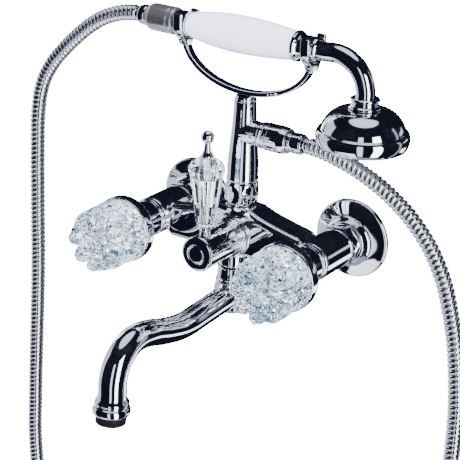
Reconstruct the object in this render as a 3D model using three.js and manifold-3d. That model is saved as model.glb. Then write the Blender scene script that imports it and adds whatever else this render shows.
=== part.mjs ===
// Wall mounted bath and shower mixer of the classical pattern: two glass valve knobs, a diverter with
// a fluted glass lever, a swan-neck spout, and a riser with a cradle that holds a hand shower.
// Millimetres. +X is right, -Y is out of the wall, +Z is up. The origin is on the wall plane, midway
// between the two inlets.
import * as THREE from "three";
import { mergeVertices } from "three/addons/utils/BufferGeometryUtils.js";
import Module from "manifold-3d";

const wasm = await Module();
wasm.setup();

// ---- Driving dimensions ------------------------------------------------------------------------

const GAP = 0.3; // space kept between pieces that touch or turn in one another
const SIDES = 16; // facets round a large turned piece
const SMALL_SIDES = 10; // facets round a small turned piece
const CHAMFER = 1; // on the edges of turned pieces
const OVERRUN = 1; // how far a bore's cutter runs past the face that it opens

// Inlets and wall unions
const INLET_PITCH = 150;
const BODY_DEPTH = 48; // wall to the middle of the body
const BARREL_BACK = BODY_DEPTH - 21;
const BARREL_FRONT = BODY_DEPTH + 18;
const UNION_TAIL = 12; // thread that goes into the wall
const UNION_RADIUS = 10.4; // G1/2 thread
const UNION_BORE = 7;
const UNION_COLLAR_RADIUS = 13;
const UNION_COLLAR_THICK = 3;
const UNION_NUT_RADIUS = 17; // over the hexagon's corners
const UNION_NUT_LENGTH = 10;
const WASHER_THICK = 1.5;
const FLANGE_RADIUS = 32;
const FLANGE_RIM = 4;
const FLANGE_DEPTH = BARREL_BACK - UNION_NUT_LENGTH - 1; // just behind the nut
const FLANGE_HUB_RADIUS = 18;
const FLANGE_FILLET = 3; // the hollow between the cone and the hub
const FLANGE_WALL = 2;

// Body
const BODY_THICK = 27;
const BODY_BOTTOM = 15; // below the inlet axis
const SHOULDER_LOW = 12.5; // height of the body beside a valve barrel
const SHOULDER_HIGH = 25; // height of the body beside the riser
const SHOULDER_HALF = 15.5; // half width of the body under the riser
const SHOULDER_FALL = 2; // from beside a barrel to the barrel's own middle
const SHOULDER_PULL = [6, 3]; // sideways and down, from the top corner to the curve's control point
const BODY_EDGE = 9;
const RISER_SEAT_RADIUS = 13.5; // round seat on top of the body, under the riser's nut
const BARREL_RADIUS = 15.5;
const CAVITY_RADIUS = 10;
const CAVITY_DEPTH = 25;
const CROSS_BORE = 4.5;
const CHAMBER_BACK = 4; // diverter chamber behind the body's middle

// Valves and knobs
const BONNET_RADIUS = 14;
const BONNET_FRONT = BARREL_FRONT + 25.5;
const BONNET_NOSE = 6; // length inside the barrel
const SEAL_THICK = 1.7;
const DISC_THICK = 3;
const DISC_PORT = 2.5; // radius of the seat disc's hole
const SPINDLE_RADIUS = 4;
const SPINDLE_HEAD = 3; // thickness of the spindle's head on the turning disc
const SKIRT_RADIUS = 26.6;
const SKIRT_DEPTH = 12.5;
const KNOB_RADIUS = 25.5;
const KNOB_LENGTH = 38;
const KNOB_LOBES = 8;
const LOBE_DEPTH = 1.7;
const KNOB_ROUND = 5;
const INSERT_RADIUS = 7;
const INSERT_LENGTH = 16;

// Diverter
const DIVERTER_BACK = BODY_DEPTH + 14;
const DIVERTER_BOSS_RADIUS = 14.6;
const DIVERTER_RING_RADIUS = 16.6;
const DIVERTER_RING_LENGTH = 6;
const DIVERTER_RADIUS = 14;
const DIVERTER_FRONT = DIVERTER_BACK + 46.5;
const DIVERTER_DOME = 2;
const DIVERTER_BORE = 8;
const DIVERTER_NOSE = 6; // length of the bonnet inside the body
const LEVER_SETBACK = 12; // lever axis behind the barrel's front
const LEVER_SINK = 2; // how far the lever's neck is let into the barrel
const LEVER_NECK_RADIUS = 4.6;
const LEVER_NECK_LENGTH = 9.5;
const LEVER_NECK_ROOT = 7; // length inside the sleeve
const LEVER_ROD_RADIUS = 2;
const LEVER_GLASS_LENGTH = 54;
const LEVER_GLASS_RADIUS = 14.4;
const LEVER_FOOT_RADIUS = 6.8;
const LEVER_FLUTES = 14;
const LEVER_CROWN = [15, 8, 3]; // from the glass's top down to its shoulder, widest ring and crown
const FINIAL_RADIUS = 5.1;
const FINIAL_LENGTH = 20;

// Riser, outlet and cradle
const RISER_NUT_RADIUS = 14.2;
const RISER_NUT_LENGTH = 19;
const RISER_FOOT_RADIUS = 12.6;
const RISER_TOP_RADIUS = 8.6;
const RISER_FOOT_LENGTH = 16; // straight stretch above the nut
const RISER_TOP = 107.5;
const RISER_BORE = 6;
const OUTLET_HEIGHT = 84;
const OUTLET_RADIUS = 9;
const OUTLET_REACH = 20;
const CRADLE_HALF_SPAN = 57;
const CRADLE_DROP = 34.5; // fork level to the bottom of the bow
const STRAP_THICK = 4;
const STRAP_WIDTH = 8;
const FORK_WIDTH = 7;
const FORK_WALL = 3;
const FORK_LIP = 9.5; // prong height above the handset's axis
const FORK_ROOT = 8; // how far a fork's foot hangs below the bow's ends

// Spout
const SWIVEL_OUT = BODY_DEPTH + 9; // wall to the swivel axis
const NECK_RADIUS = 11.5;
const NECK_BOTTOM = 24;
const NECK_BORE = 4.8;
const SWIVEL_NUT_LENGTH = 14;
const SWIVEL_NUT_RADIUS = 12.2;
const SWIVEL_BEAD = 1.2;
const SWIVEL_BEAD_LENGTH = 3;
const SPIGOT_RADIUS = 7;
const SPIGOT_LENGTH = 16;
const SPOUT_SEAL_THICK = 2;
const SOCKET_RADIUS = 14.7;
const SOCKET_LENGTH = 25;
const SPOUT_TUBE_RADIUS = 10.2;
const SPOUT_WALL = 1.6;
const SPOUT_LENGTH = 151; // swivel axis to the middle of the aerator
const SPOUT_TILT = 5; // degrees that the outlet leans away from the wall
const TUBE_BELOW = 32; // tube's lower end under its level at the socket
const END_COLLAR_RADIUS = 14.3;
const END_COLLAR_LENGTH = 13;
const END_COLLAR_GRIP = 4; // of that, the length on the tube
const AERATOR_RADIUS = 11.5;
const AERATOR_LENGTH = 6.5;
const AERATOR_WALL = 2.5;

// Hand shower
const HANDSET_HEIGHT = 158.4;
const GRIP_LEFT = -52;
const GRIP_RIGHT = 43;
const GRIP_LEFT_RADIUS = 9.4;
const GRIP_MIDDLE_RADIUS = 14.6;
const GRIP_RIGHT_RADIUS = 10.8;
const GRIP_BORE = 5.5;
const COLLAR_RADIUS = 9.5; // the part of each collar that rests in a fork
const REAR_COLLAR_LENGTH = 12.5;
const FRONT_COLLAR_LENGTH = 20;
const GOOSE_RADIUS = 7.2;
const GOOSE_WALL = 1.4;
const HEAD_OUT = 103; // right of the riser axis
const HEAD_RIM_BOTTOM = 94;
const HEAD_RADIUS = 34.8;
const HEAD_HEIGHT = 28.5;
const HEAD_WALL = 2;
const HEAD_RIM_HEIGHT = 13;
const HEAD_RIM_BEAD = 2.4; // how far the rim stands out from the bell
const HEAD_RIM_WALL = 4;
const HEAD_COLLAR_RADIUS = 12;
const HEAD_COLLAR_LENGTH = 8.5;
const SPRAY_PLATE_THICK = 3;
const SPRAY_PLATE_SET_IN = 1;
const SPRAY_HOLE = 0.9;

// Hose and its fittings
const HOSE_DIAMETER = 13;
const HOSE_SIDES = 8;
const HOSE_STEPS = 50;
const HOSE_NUT_RADIUS = 10.8;
const HANDSET_NUT_LENGTH = 25;
const OUTLET_NUT_LENGTH = 21;
const HOSE_TAIL_RADIUS = 8;
const HOSE_TAIL_LENGTH = 10;
const OUTLET_TAIL_LENGTH = 13;
const HOSE_BORE = 4;

// ---- Materials ---------------------------------------------------------------------------------

const finish = (color, roughness, metalness, extra = {}) =>
  new THREE.MeshStandardMaterial({ color, roughness, metalness, ...extra });
const chrome = finish(0xd9dde2, 0.08, 1);
const satinChrome = finish(0xb4b8bc, 0.35, 1);
const glass = finish(0xe8f2fa, 0.04, 0, { transparent: true, opacity: 0.45 });
const porcelain = finish(0xf6f7f9, 0.12, 0);
const rubber = finish(0x1b1b1d, 0.8, 0);
const brass = finish(0xb9924a, 0.3, 1);
const ceramic = finish(0xe9e4da, 0.3, 0);
const hoseSteel = finish(0xaeb2b6, 0.25, 1);

// ---- Solids ------------------------------------------------------------------------------------

// A closed geometry as a manifold-3d solid.
function solid(geometry) {
  const bare = geometry.index ? geometry.toNonIndexed() : geometry.clone();
  bare.deleteAttribute("normal");
  bare.deleteAttribute("uv");
  const merged = mergeVertices(bare, 1e-4);
  return new wasm.Manifold(
    new wasm.Mesh({
      numProp: 3,
      vertProperties: merged.attributes.position.array,
      triVerts: new Uint32Array(merged.index.array),
    }),
  );
}

function geometryOf(made) {
  const mesh = made.getMesh();
  const geometry = new THREE.BufferGeometry();
  geometry.setAttribute("position", new THREE.BufferAttribute(mesh.vertProperties, 3));
  geometry.setIndex(new THREE.BufferAttribute(mesh.triVerts, 1));
  return geometry;
}

function joined(...pieces) {
  return pieces.map(solid).reduce((whole, piece) => whole.add(piece));
}

function withCuts(made, ...tools) {
  return geometryOf(tools.map(solid).reduce((rest, tool) => rest.subtract(tool), made));
}

// A turned piece about +Z. The profile holds [radius, height] points, up the outside and down the
// inside, and either starts and ends on the axis or closes on itself.
function turned(profile, sides = SIDES) {
  const points = profile.map(([radius, height]) => new THREE.Vector2(radius, height));
  return new THREE.LatheGeometry(points, sides).rotateX(Math.PI / 2);
}

function rod(radius, low, high, sides = SIDES) {
  return turned([[0, low], [radius, low], [radius, high], [0, high]], sides);
}

function sleeve(inner, outer, low, high, sides = SIDES) {
  return turned([[inner, low], [outer, low], [outer, high], [inner, high], [inner, low]], sides);
}

const alongOut = (geometry) => geometry.rotateX(Math.PI / 2); // +Z becomes -Y
const alongRight = (geometry) => geometry.rotateY(Math.PI / 2); // +Z becomes +X

// A round tube along a curve, hollow when a bore is given.
function tubeAlong(curve, radius, bore, sides, steps) {
  const section = new THREE.Shape();
  section.absarc(0, 0, radius, 0, 2 * Math.PI, false);
  if (bore > 0) {
    const hole = new THREE.Path();
    hole.absarc(0, 0, bore, 0, 2 * Math.PI, true);
    section.holes.push(hole);
  }
  return new THREE.ExtrudeGeometry(section, {
    steps,
    curveSegments: sides,
    bevelEnabled: false,
    extrudePath: curve,
  });
}

function curveThrough(points) {
  return new THREE.CatmullRomCurve3(points.map((point) => new THREE.Vector3(...point)));
}

function add(group, name, geometry, material) {
  const mesh = new THREE.Mesh(geometry, material);
  mesh.name = name;
  group.add(mesh);
  return mesh;
}

// ---- Body --------------------------------------------------------------------------------------

const CAVITY_BACK = BARREL_FRONT - CAVITY_DEPTH;
const OVERLAP = 3; // of the bar's sloping top with each barrel

function bodyBar() {
  const half = INLET_PITCH / 2;
  const inner = half - BARREL_RADIUS + OVERLAP;
  const [aside, down] = SHOULDER_PULL;
  const outline = new THREE.Shape();
  outline.moveTo(-half, -BODY_BOTTOM);
  outline.lineTo(half, -BODY_BOTTOM);
  outline.lineTo(half, SHOULDER_LOW - SHOULDER_FALL);
  outline.lineTo(inner, SHOULDER_LOW);
  outline.quadraticCurveTo(SHOULDER_HALF + aside, SHOULDER_HIGH - down, SHOULDER_HALF, SHOULDER_HIGH);
  outline.lineTo(-SHOULDER_HALF, SHOULDER_HIGH);
  outline.quadraticCurveTo(-SHOULDER_HALF - aside, SHOULDER_HIGH - down, -inner, SHOULDER_LOW);
  outline.lineTo(-half, SHOULDER_LOW - SHOULDER_FALL);
  const bar = new THREE.ExtrudeGeometry(outline, {
    depth: BODY_THICK - 2 * BODY_EDGE,
    curveSegments: 4,
    bevelThickness: BODY_EDGE,
    bevelSize: BODY_EDGE,
    bevelOffset: -BODY_EDGE,
    bevelSegments: 2,
  });
  bar.translate(0, 0, BODY_DEPTH - BODY_THICK / 2 + BODY_EDGE);
  return alongOut(bar);
}

function mixerBody() {
  const barrels = [-1, 1].map((side) =>
    alongOut(rod(BARREL_RADIUS, BARREL_BACK, BARREL_FRONT)).translate((side * INLET_PITCH) / 2, 0, 0),
  );
  const diverterBoss = alongOut(rod(DIVERTER_BOSS_RADIUS, BODY_DEPTH, DIVERTER_BACK));
  const spoutNeck = rod(NECK_RADIUS, -NECK_BOTTOM, -BODY_BOTTOM / 2).translate(0, -SWIVEL_OUT, 0);
  const riserSeat = rod(RISER_SEAT_RADIUS, 0, SHOULDER_HIGH).translate(0, -BODY_DEPTH, 0);
  const whole = joined(bodyBar(), ...barrels, diverterBoss, spoutNeck, riserSeat);

  const ringRoom = alongOut(rod(DIVERTER_RING_RADIUS + GAP, DIVERTER_BACK, DIVERTER_FRONT));
  const waterways = [-1, 1].flatMap((side) =>
    [
      alongOut(rod(CAVITY_RADIUS, CAVITY_BACK, BARREL_FRONT + OVERRUN)),
      alongOut(rod(UNION_BORE, BARREL_BACK - OVERRUN, CAVITY_BACK + OVERRUN, SMALL_SIDES)),
    ].map((bore) => bore.translate((side * INLET_PITCH) / 2, 0, 0)),
  );
  const crossDepth = CAVITY_BACK + SEAL_THICK + 2 * DISC_THICK + 3 * GAP + CROSS_BORE;
  const crossBore = alongRight(
    rod(CROSS_BORE, -INLET_PITCH / 2, INLET_PITCH / 2, SMALL_SIDES),
  ).translate(0, -crossDepth, 0);
  const chamber = alongOut(rod(DIVERTER_BORE, BODY_DEPTH - CHAMBER_BACK, DIVERTER_BACK + OVERRUN));
  const neckFoot = -NECK_BOTTOM - OVERRUN;
  const spoutBore = rod(NECK_BORE, neckFoot, 0, SMALL_SIDES).translate(0, -SWIVEL_OUT, 0);
  const spigotRoom = rod(
    SPIGOT_RADIUS + GAP,
    neckFoot,
    -NECK_BOTTOM - SWIVEL_NUT_LENGTH + SPIGOT_LENGTH + GAP,
  ).translate(0, -SWIVEL_OUT, 0);
  const riserTop = SHOULDER_HIGH + OVERRUN;
  const riserBore = rod(RISER_BORE, 0, riserTop, SMALL_SIDES).translate(0, -BODY_DEPTH, 0);
  return withCuts(
    whole, ringRoom, ...waterways, crossBore, chamber, spoutBore, spigotRoom, riserBore,
  );
}

// ---- Wall unions. Local +Z is out of the wall, and the axis is the inlet's. ------------------------

function wallUnion() {
  const end = BARREL_BACK - WASHER_THICK - 2 * GAP;
  return turned([
    [UNION_BORE, -UNION_TAIL],
    [UNION_RADIUS, -UNION_TAIL],
    [UNION_RADIUS, end - UNION_COLLAR_THICK],
    [UNION_COLLAR_RADIUS, end - UNION_COLLAR_THICK],
    [UNION_COLLAR_RADIUS, end],
    [UNION_BORE, end],
    [UNION_BORE, -UNION_TAIL],
  ]);
}

function unionNut() {
  const front = BARREL_BACK - GAP;
  const back = front - UNION_NUT_LENGTH;
  const pocket = front - WASHER_THICK - UNION_COLLAR_THICK - 2 * GAP;
  const hexagon = rod(UNION_NUT_RADIUS, back, front, 6);
  const bore = rod(UNION_RADIUS + GAP, back - OVERRUN, front);
  const collarRoom = rod(UNION_COLLAR_RADIUS + GAP, pocket, front + OVERRUN);
  return withCuts(joined(hexagon), bore, collarRoom);
}

function unionWasher() {
  const front = BARREL_BACK - GAP;
  return sleeve(UNION_BORE + GAP, UNION_COLLAR_RADIUS - CHAMFER, front - WASHER_THICK, front, SMALL_SIDES);
}

function wallFlange() {
  const hole = UNION_RADIUS + 2 * GAP;
  const foot = FLANGE_RADIUS - CHAMFER - FLANGE_WALL;
  const coneTop = FLANGE_RIM + 0.38 * (FLANGE_DEPTH - FLANGE_RIM);
  const outside = [
    [FLANGE_RADIUS - CHAMFER, FLANGE_RIM],
    [FLANGE_HUB_RADIUS + FLANGE_FILLET, coneTop],
    [FLANGE_HUB_RADIUS + FLANGE_FILLET / 4, coneTop + FLANGE_FILLET / 2],
    [FLANGE_HUB_RADIUS, coneTop + FLANGE_FILLET],
    [FLANGE_HUB_RADIUS, FLANGE_DEPTH - CHAMFER],
  ];
  const inside = outside.map(([radius, height]) => [radius - FLANGE_WALL, height - FLANGE_WALL]).reverse();
  return turned([
    [foot, 0],
    [FLANGE_RADIUS, 0],
    [FLANGE_RADIUS, FLANGE_RIM - CHAMFER],
    ...outside,
    [FLANGE_HUB_RADIUS - CHAMFER, FLANGE_DEPTH],
    [hole, FLANGE_DEPTH],
    [hole, FLANGE_DEPTH - FLANGE_WALL],
    ...inside,
    [foot, 0],
  ]);
}

// ---- Valves. Local +Z is out of the wall, and the axis is the barrel's. -----------------------------

const SEAT_BACK = CAVITY_BACK + GAP + SEAL_THICK + GAP;
const DISC_BACK = SEAT_BACK + DISC_THICK + GAP;
const SPINDLE_BACK = DISC_BACK + DISC_THICK + GAP;
const KNOB_BACK = BONNET_FRONT + GAP + SKIRT_DEPTH + GAP;

function valveSeal() {
  const low = CAVITY_BACK + GAP;
  return sleeve(UNION_BORE, CAVITY_RADIUS - GAP, low, low + SEAL_THICK, SMALL_SIDES);
}

function seatDisc() {
  return sleeve(DISC_PORT, CAVITY_RADIUS - GAP, SEAT_BACK, SEAT_BACK + DISC_THICK, SMALL_SIDES);
}

function turningDisc() {
  const disc = joined(rod(CAVITY_RADIUS - 2 * GAP, DISC_BACK, DISC_BACK + DISC_THICK, SMALL_SIDES));
  const port = new THREE.BoxGeometry(CAVITY_RADIUS, CAVITY_RADIUS / 2, 3 * DISC_THICK);
  port.translate(0, CAVITY_RADIUS * 0.75, DISC_BACK);
  return withCuts(disc, port);
}

function valveBonnet() {
  const back = BARREL_FRONT - BONNET_NOSE;
  const seat = BARREL_FRONT + GAP;
  return turned([
    [SPINDLE_RADIUS + GAP, back],
    [CAVITY_RADIUS - GAP, back],
    [CAVITY_RADIUS - GAP, seat],
    [BARREL_RADIUS, seat],
    [BARREL_RADIUS, seat + 2 * CHAMFER],
    [BONNET_RADIUS, seat + 3 * CHAMFER],
    [BONNET_RADIUS, BONNET_FRONT - CHAMFER],
    [BONNET_RADIUS - CHAMFER, BONNET_FRONT],
    [SPINDLE_RADIUS + GAP, BONNET_FRONT],
    [SPINDLE_RADIUS + GAP, back],
  ]);
}

function spindle() {
  const tip = KNOB_BACK + INSERT_LENGTH - 2 * CHAMFER;
  const headRadius = CAVITY_RADIUS - SPINDLE_HEAD;
  return turned(
    [
      [0, SPINDLE_BACK],
      [headRadius, SPINDLE_BACK],
      [headRadius, SPINDLE_BACK + SPINDLE_HEAD],
      [SPINDLE_RADIUS, SPINDLE_BACK + SPINDLE_HEAD + CHAMFER],
      [SPINDLE_RADIUS, tip],
      [0, tip],
    ],
    SMALL_SIDES,
  );
}

function handleSkirt() {
  const back = BONNET_FRONT + GAP;
  const front = back + SKIRT_DEPTH;
  return turned([
    [SPINDLE_RADIUS + GAP, back],
    [SKIRT_RADIUS - 5, back],
    [SKIRT_RADIUS - 1.5, back + 1.5],
    [SKIRT_RADIUS, back + 4],
    [SKIRT_RADIUS, front - CHAMFER],
    [SKIRT_RADIUS - 0.6, front],
    [SPINDLE_RADIUS + GAP, front],
    [SPINDLE_RADIUS + GAP, back],
  ]);
}

function lobedOutline(radius) {
  const outline = new THREE.Shape();
  const stepsPerLobe = 4;
  const steps = KNOB_LOBES * stepsPerLobe;
  for (let i = 0; i < steps; i += 1) {
    const angle = (2 * Math.PI * i) / steps;
    const reach = radius - LOBE_DEPTH * (1 - Math.abs(Math.cos((KNOB_LOBES * angle) / 2)));
    const point = [reach * Math.cos(angle), reach * Math.sin(angle)];
    if (i === 0) outline.moveTo(...point);
    else outline.lineTo(...point);
  }
  return outline;
}

function glassKnob() {
  const blank = new THREE.ExtrudeGeometry(lobedOutline(KNOB_RADIUS), {
    depth: KNOB_LENGTH - 2 * KNOB_ROUND,
    bevelThickness: KNOB_ROUND,
    bevelSize: KNOB_ROUND,
    bevelOffset: -KNOB_ROUND,
    bevelSegments: 1,
  });
  blank.translate(0, 0, KNOB_BACK + KNOB_ROUND);
  const pocketEnd = KNOB_BACK + INSERT_LENGTH + GAP;
  const pocket = rod(INSERT_RADIUS + GAP, KNOB_BACK - OVERRUN, pocketEnd, SMALL_SIDES);
  return withCuts(joined(blank), pocket);
}

function knobInsert() {
  const front = KNOB_BACK + INSERT_LENGTH;
  return sleeve(SPINDLE_RADIUS + GAP, INSERT_RADIUS, KNOB_BACK, front, SMALL_SIDES);
}

// ---- Diverter. Local +Z is out of the wall, and the axis is the barrel's. ---------------------------

const LEVER_OUT = DIVERTER_FRONT - LEVER_SETBACK;
const SLEEVE_BACK = DIVERTER_BACK + GAP + DIVERTER_RING_LENGTH + GAP;
const SPOOL_RADIUS = DIVERTER_BORE - 2 - GAP;

function diverterBonnet() {
  const back = DIVERTER_BACK - DIVERTER_NOSE;
  const seat = DIVERTER_BACK + GAP;
  const front = seat + DIVERTER_RING_LENGTH;
  return turned([
    [SPOOL_RADIUS + GAP, back],
    [DIVERTER_BORE - GAP, back],
    [DIVERTER_BORE - GAP, seat],
    [DIVERTER_RING_RADIUS, seat],
    [DIVERTER_RING_RADIUS, seat + DIVERTER_RING_LENGTH / 2],
    [DIVERTER_RADIUS + CHAMFER, seat + DIVERTER_RING_LENGTH * 0.6],
    [DIVERTER_RADIUS + CHAMFER, front],
    [SPOOL_RADIUS + GAP, front],
    [SPOOL_RADIUS + GAP, back],
  ]);
}

function diverterSleeve() {
  const end = DIVERTER_FRONT - DIVERTER_DOME;
  const shell = joined(
    turned([
      [0, SLEEVE_BACK],
      [DIVERTER_RADIUS, SLEEVE_BACK],
      [DIVERTER_RADIUS, end],
      [DIVERTER_RADIUS * 0.8, DIVERTER_FRONT - 0.5],
      [DIVERTER_RADIUS * 0.4, DIVERTER_FRONT],
      [0, DIVERTER_FRONT],
    ]),
  );
  const spoolEnd = LEVER_OUT + LEVER_NECK_RADIUS;
  const spoolRoom = rod(SPOOL_RADIUS + GAP, SLEEVE_BACK - OVERRUN, spoolEnd, SMALL_SIDES);
  const leverHole = rod(LEVER_NECK_RADIUS + GAP, 0, DIVERTER_RADIUS + OVERRUN, SMALL_SIDES);
  leverHole.rotateX(-Math.PI / 2).translate(0, 0, LEVER_OUT);
  return withCuts(shell, spoolRoom, leverHole);
}

function diverterSpool() {
  const front = LEVER_OUT - LEVER_NECK_RADIUS - 2 * GAP;
  return rod(SPOOL_RADIUS, BODY_DEPTH - CHAMBER_BACK + CHAMFER, front, SMALL_SIDES);
}

// The lever stands up from the sleeve: here +Z runs up the lever and 0 is the diverter's axis.
const LEVER_FOOT = DIVERTER_RADIUS - LEVER_SINK;
const LEVER_GLASS_LOW = LEVER_FOOT + LEVER_NECK_LENGTH + GAP;
const LEVER_GLASS_HIGH = LEVER_GLASS_LOW + LEVER_GLASS_LENGTH;

function leverNeck() {
  const low = LEVER_FOOT - LEVER_NECK_ROOT;
  const high = LEVER_FOOT + LEVER_NECK_LENGTH;
  const hole = LEVER_ROD_RADIUS + GAP;
  return turned(
    [
      [0, low],
      [LEVER_NECK_RADIUS, low],
      [LEVER_NECK_RADIUS, LEVER_FOOT + 2],
      [LEVER_NECK_RADIUS - 0.8, LEVER_FOOT + 5],
      [LEVER_FOOT_RADIUS - 0.8, high - 1],
      [LEVER_FOOT_RADIUS - 0.8, high],
      [hole, high],
      [hole, LEVER_FOOT],
      [0, LEVER_FOOT],
    ],
    SMALL_SIDES,
  );
}

function leverGlass() {
  const hole = LEVER_ROD_RADIUS + GAP;
  const low = LEVER_GLASS_LOW;
  const high = LEVER_GLASS_HIGH;
  const [shoulder, widest, crown] = LEVER_CROWN;
  return turned(
    [
      [hole, low],
      [LEVER_FOOT_RADIUS, low],
      [LEVER_GLASS_RADIUS - 2.2, high - shoulder],
      [LEVER_GLASS_RADIUS, high - widest],
      [LEVER_GLASS_RADIUS - 2.6, high - crown],
      [LEVER_FOOT_RADIUS - 1.5, high],
      [hole, high],
      [hole, low],
    ],
    LEVER_FLUTES,
  );
}

function leverRod() {
  return rod(LEVER_ROD_RADIUS, LEVER_FOOT + GAP, LEVER_GLASS_HIGH + GAP + CHAMFER, SMALL_SIDES);
}

function leverFinial() {
  const low = LEVER_GLASS_HIGH + GAP;
  const tip = low + FINIAL_LENGTH;
  const middle = tip - FINIAL_RADIUS;
  const hole = LEVER_ROD_RADIUS + GAP;
  const ball = [-60, -30, 0, 30, 60].map((degrees) => {
    const angle = THREE.MathUtils.degToRad(degrees);
    return [FINIAL_RADIUS * Math.cos(angle), middle + FINIAL_RADIUS * Math.sin(angle)];
  });
  return turned(
    [
      [hole, low],
      [LEVER_FOOT_RADIUS - 2, low],
      [FINIAL_RADIUS / 2, low + 4],
      ...ball,
      [0, tip],
      [0, low + 2],
      [hole, low + 2],
      [hole, low],
    ],
    SMALL_SIDES,
  );
}

// ---- Riser and cradle. +Z is up, and the axis is the riser's. ----------------------------------------

const RISER_LOW = SHOULDER_HIGH + GAP;
const CRADLE_STEM_LOW = RISER_TOP + GAP;
const BOW_BOTTOM = HANDSET_HEIGHT - COLLAR_RADIUS + GAP - CRADLE_DROP;

function riserNut() {
  const low = RISER_LOW;
  const high = low + RISER_NUT_LENGTH;
  const bore = RISER_FOOT_RADIUS - 1 + GAP;
  return turned([
    [bore, low],
    [RISER_NUT_RADIUS - 1.6, low],
    [RISER_NUT_RADIUS, low + RISER_NUT_LENGTH * 0.35],
    [RISER_NUT_RADIUS, low + RISER_NUT_LENGTH * 0.65],
    [RISER_NUT_RADIUS - 1.6, high],
    [bore, high],
    [bore, low],
  ]);
}

function riserColumn() {
  const nutTop = RISER_LOW + RISER_NUT_LENGTH + GAP;
  const column = turned([
    [0, RISER_LOW],
    [RISER_FOOT_RADIUS - 1, RISER_LOW],
    [RISER_FOOT_RADIUS - 1, nutTop],
    [RISER_FOOT_RADIUS, nutTop],
    [RISER_FOOT_RADIUS, nutTop + RISER_FOOT_LENGTH],
    [RISER_TOP_RADIUS + 1.2, OUTLET_HEIGHT + 4],
    [RISER_TOP_RADIUS, RISER_TOP],
    [0, RISER_TOP],
  ]);
  const branch = alongRight(
    turned([[0, 0], [OUTLET_RADIUS + 2, 0], [OUTLET_RADIUS, OUTLET_REACH], [0, OUTLET_REACH]]),
  ).translate(0, 0, OUTLET_HEIGHT);
  const nose = alongRight(
    rod(OUTLET_RADIUS - 2, 0, OUTLET_REACH + OUTLET_NUT_LENGTH / 2, SMALL_SIDES),
  ).translate(0, 0, OUTLET_HEIGHT);
  const waterway = rod(RISER_BORE, RISER_LOW - OVERRUN, OUTLET_HEIGHT + RISER_BORE, SMALL_SIDES);
  const sideBore = alongRight(
    rod(HOSE_BORE, 0, OUTLET_REACH + OUTLET_NUT_LENGTH, SMALL_SIDES),
  ).translate(0, 0, OUTLET_HEIGHT);
  return withCuts(joined(column, branch, nose), waterway, sideBore);
}

function cradleStem() {
  const high = BOW_BOTTOM - STRAP_THICK / 2 - GAP;
  return turned([
    [0, CRADLE_STEM_LOW],
    [RISER_TOP_RADIUS, CRADLE_STEM_LOW],
    [RISER_TOP_RADIUS, high - CHAMFER],
    [RISER_TOP_RADIUS - CHAMFER, high],
    [0, high],
  ]);
}

function bowPoint(turn, inset) {
  const angle = (turn * Math.PI) / 2;
  const x = (CRADLE_HALF_SPAN - inset) * Math.sin(angle);
  const level = BOW_BOTTOM + CRADLE_DROP;
  return [x, level - (CRADLE_DROP - inset) * Math.cos(angle)];
}

function cradleBow() {
  const steps = 12;
  const turnsAcross = Array.from({ length: steps + 1 }, (_, i) => -1 + (2 * i) / steps);
  const outer = turnsAcross.map((turn) => bowPoint(turn, -STRAP_THICK / 2));
  const inner = turnsAcross.map((turn) => bowPoint(turn, STRAP_THICK / 2)).reverse();
  const outline = new THREE.Shape([...outer, ...inner].map(([x, z]) => new THREE.Vector2(x, z)));
  const strap = new THREE.ExtrudeGeometry(outline, { depth: STRAP_WIDTH, bevelEnabled: false });
  const whole = joined(alongOut(strap.translate(0, 0, -STRAP_WIDTH / 2)));
  const forkRoom = [-1, 1].map((side) => {
    const room = new THREE.BoxGeometry(FORK_WIDTH + 2 * GAP, CRADLE_DROP, CRADLE_DROP);
    const foot = BOW_BOTTOM + CRADLE_DROP - FORK_ROOT;
    return room.translate(side * CRADLE_HALF_SPAN, 0, foot + CRADLE_DROP / 2);
  });
  return withCuts(whole, ...forkRoom);
}

// A U-shaped fork whose open side is up. Local origin: the handset's axis.
function cradleFork() {
  const inner = COLLAR_RADIUS + GAP;
  const outer = inner + FORK_WALL;
  const foot = -(HANDSET_HEIGHT - BOW_BOTTOM - CRADLE_DROP) - FORK_ROOT + GAP;
  const outline = new THREE.Shape();
  outline.moveTo(outer, FORK_LIP);
  outline.lineTo(inner, FORK_LIP);
  outline.lineTo(inner, 0);
  outline.absarc(0, 0, inner, 0, Math.PI, true);
  outline.lineTo(-inner, FORK_LIP);
  outline.lineTo(-outer, FORK_LIP);
  outline.lineTo(-outer, 0);
  outline.absarc(0, 0, outer, Math.PI, 1.3 * Math.PI, false);
  outline.lineTo(-STRAP_WIDTH / 2, foot);
  outline.lineTo(STRAP_WIDTH / 2, foot);
  outline.absarc(0, 0, outer, 1.7 * Math.PI, 2 * Math.PI, false);
  const fork = new THREE.ExtrudeGeometry(outline, {
    depth: FORK_WIDTH,
    curveSegments: 5,
    bevelEnabled: false,
  });
  return fork.translate(0, 0, -FORK_WIDTH / 2).rotateX(Math.PI / 2).rotateZ(Math.PI / 2);
}

// ---- Spout. +Z is up, and the axis is the swivel's. --------------------------------------------------

const SOCKET_TOP = -NECK_BOTTOM - SWIVEL_NUT_LENGTH - GAP;
const TUBE_LEVEL = SOCKET_TOP - SOCKET_LENGTH / 2;

function swivelNut() {
  const high = -NECK_BOTTOM - GAP;
  const low = -NECK_BOTTOM - SWIVEL_NUT_LENGTH;
  const bore = SPIGOT_RADIUS + GAP;
  return turned([
    [bore, low],
    [SWIVEL_NUT_RADIUS + SWIVEL_BEAD, low],
    [SWIVEL_NUT_RADIUS + SWIVEL_BEAD, low + SWIVEL_BEAD_LENGTH],
    [SWIVEL_NUT_RADIUS, low + SWIVEL_BEAD_LENGTH + CHAMFER],
    [SWIVEL_NUT_RADIUS, high],
    [bore, high],
    [bore, low],
  ]);
}

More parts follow.
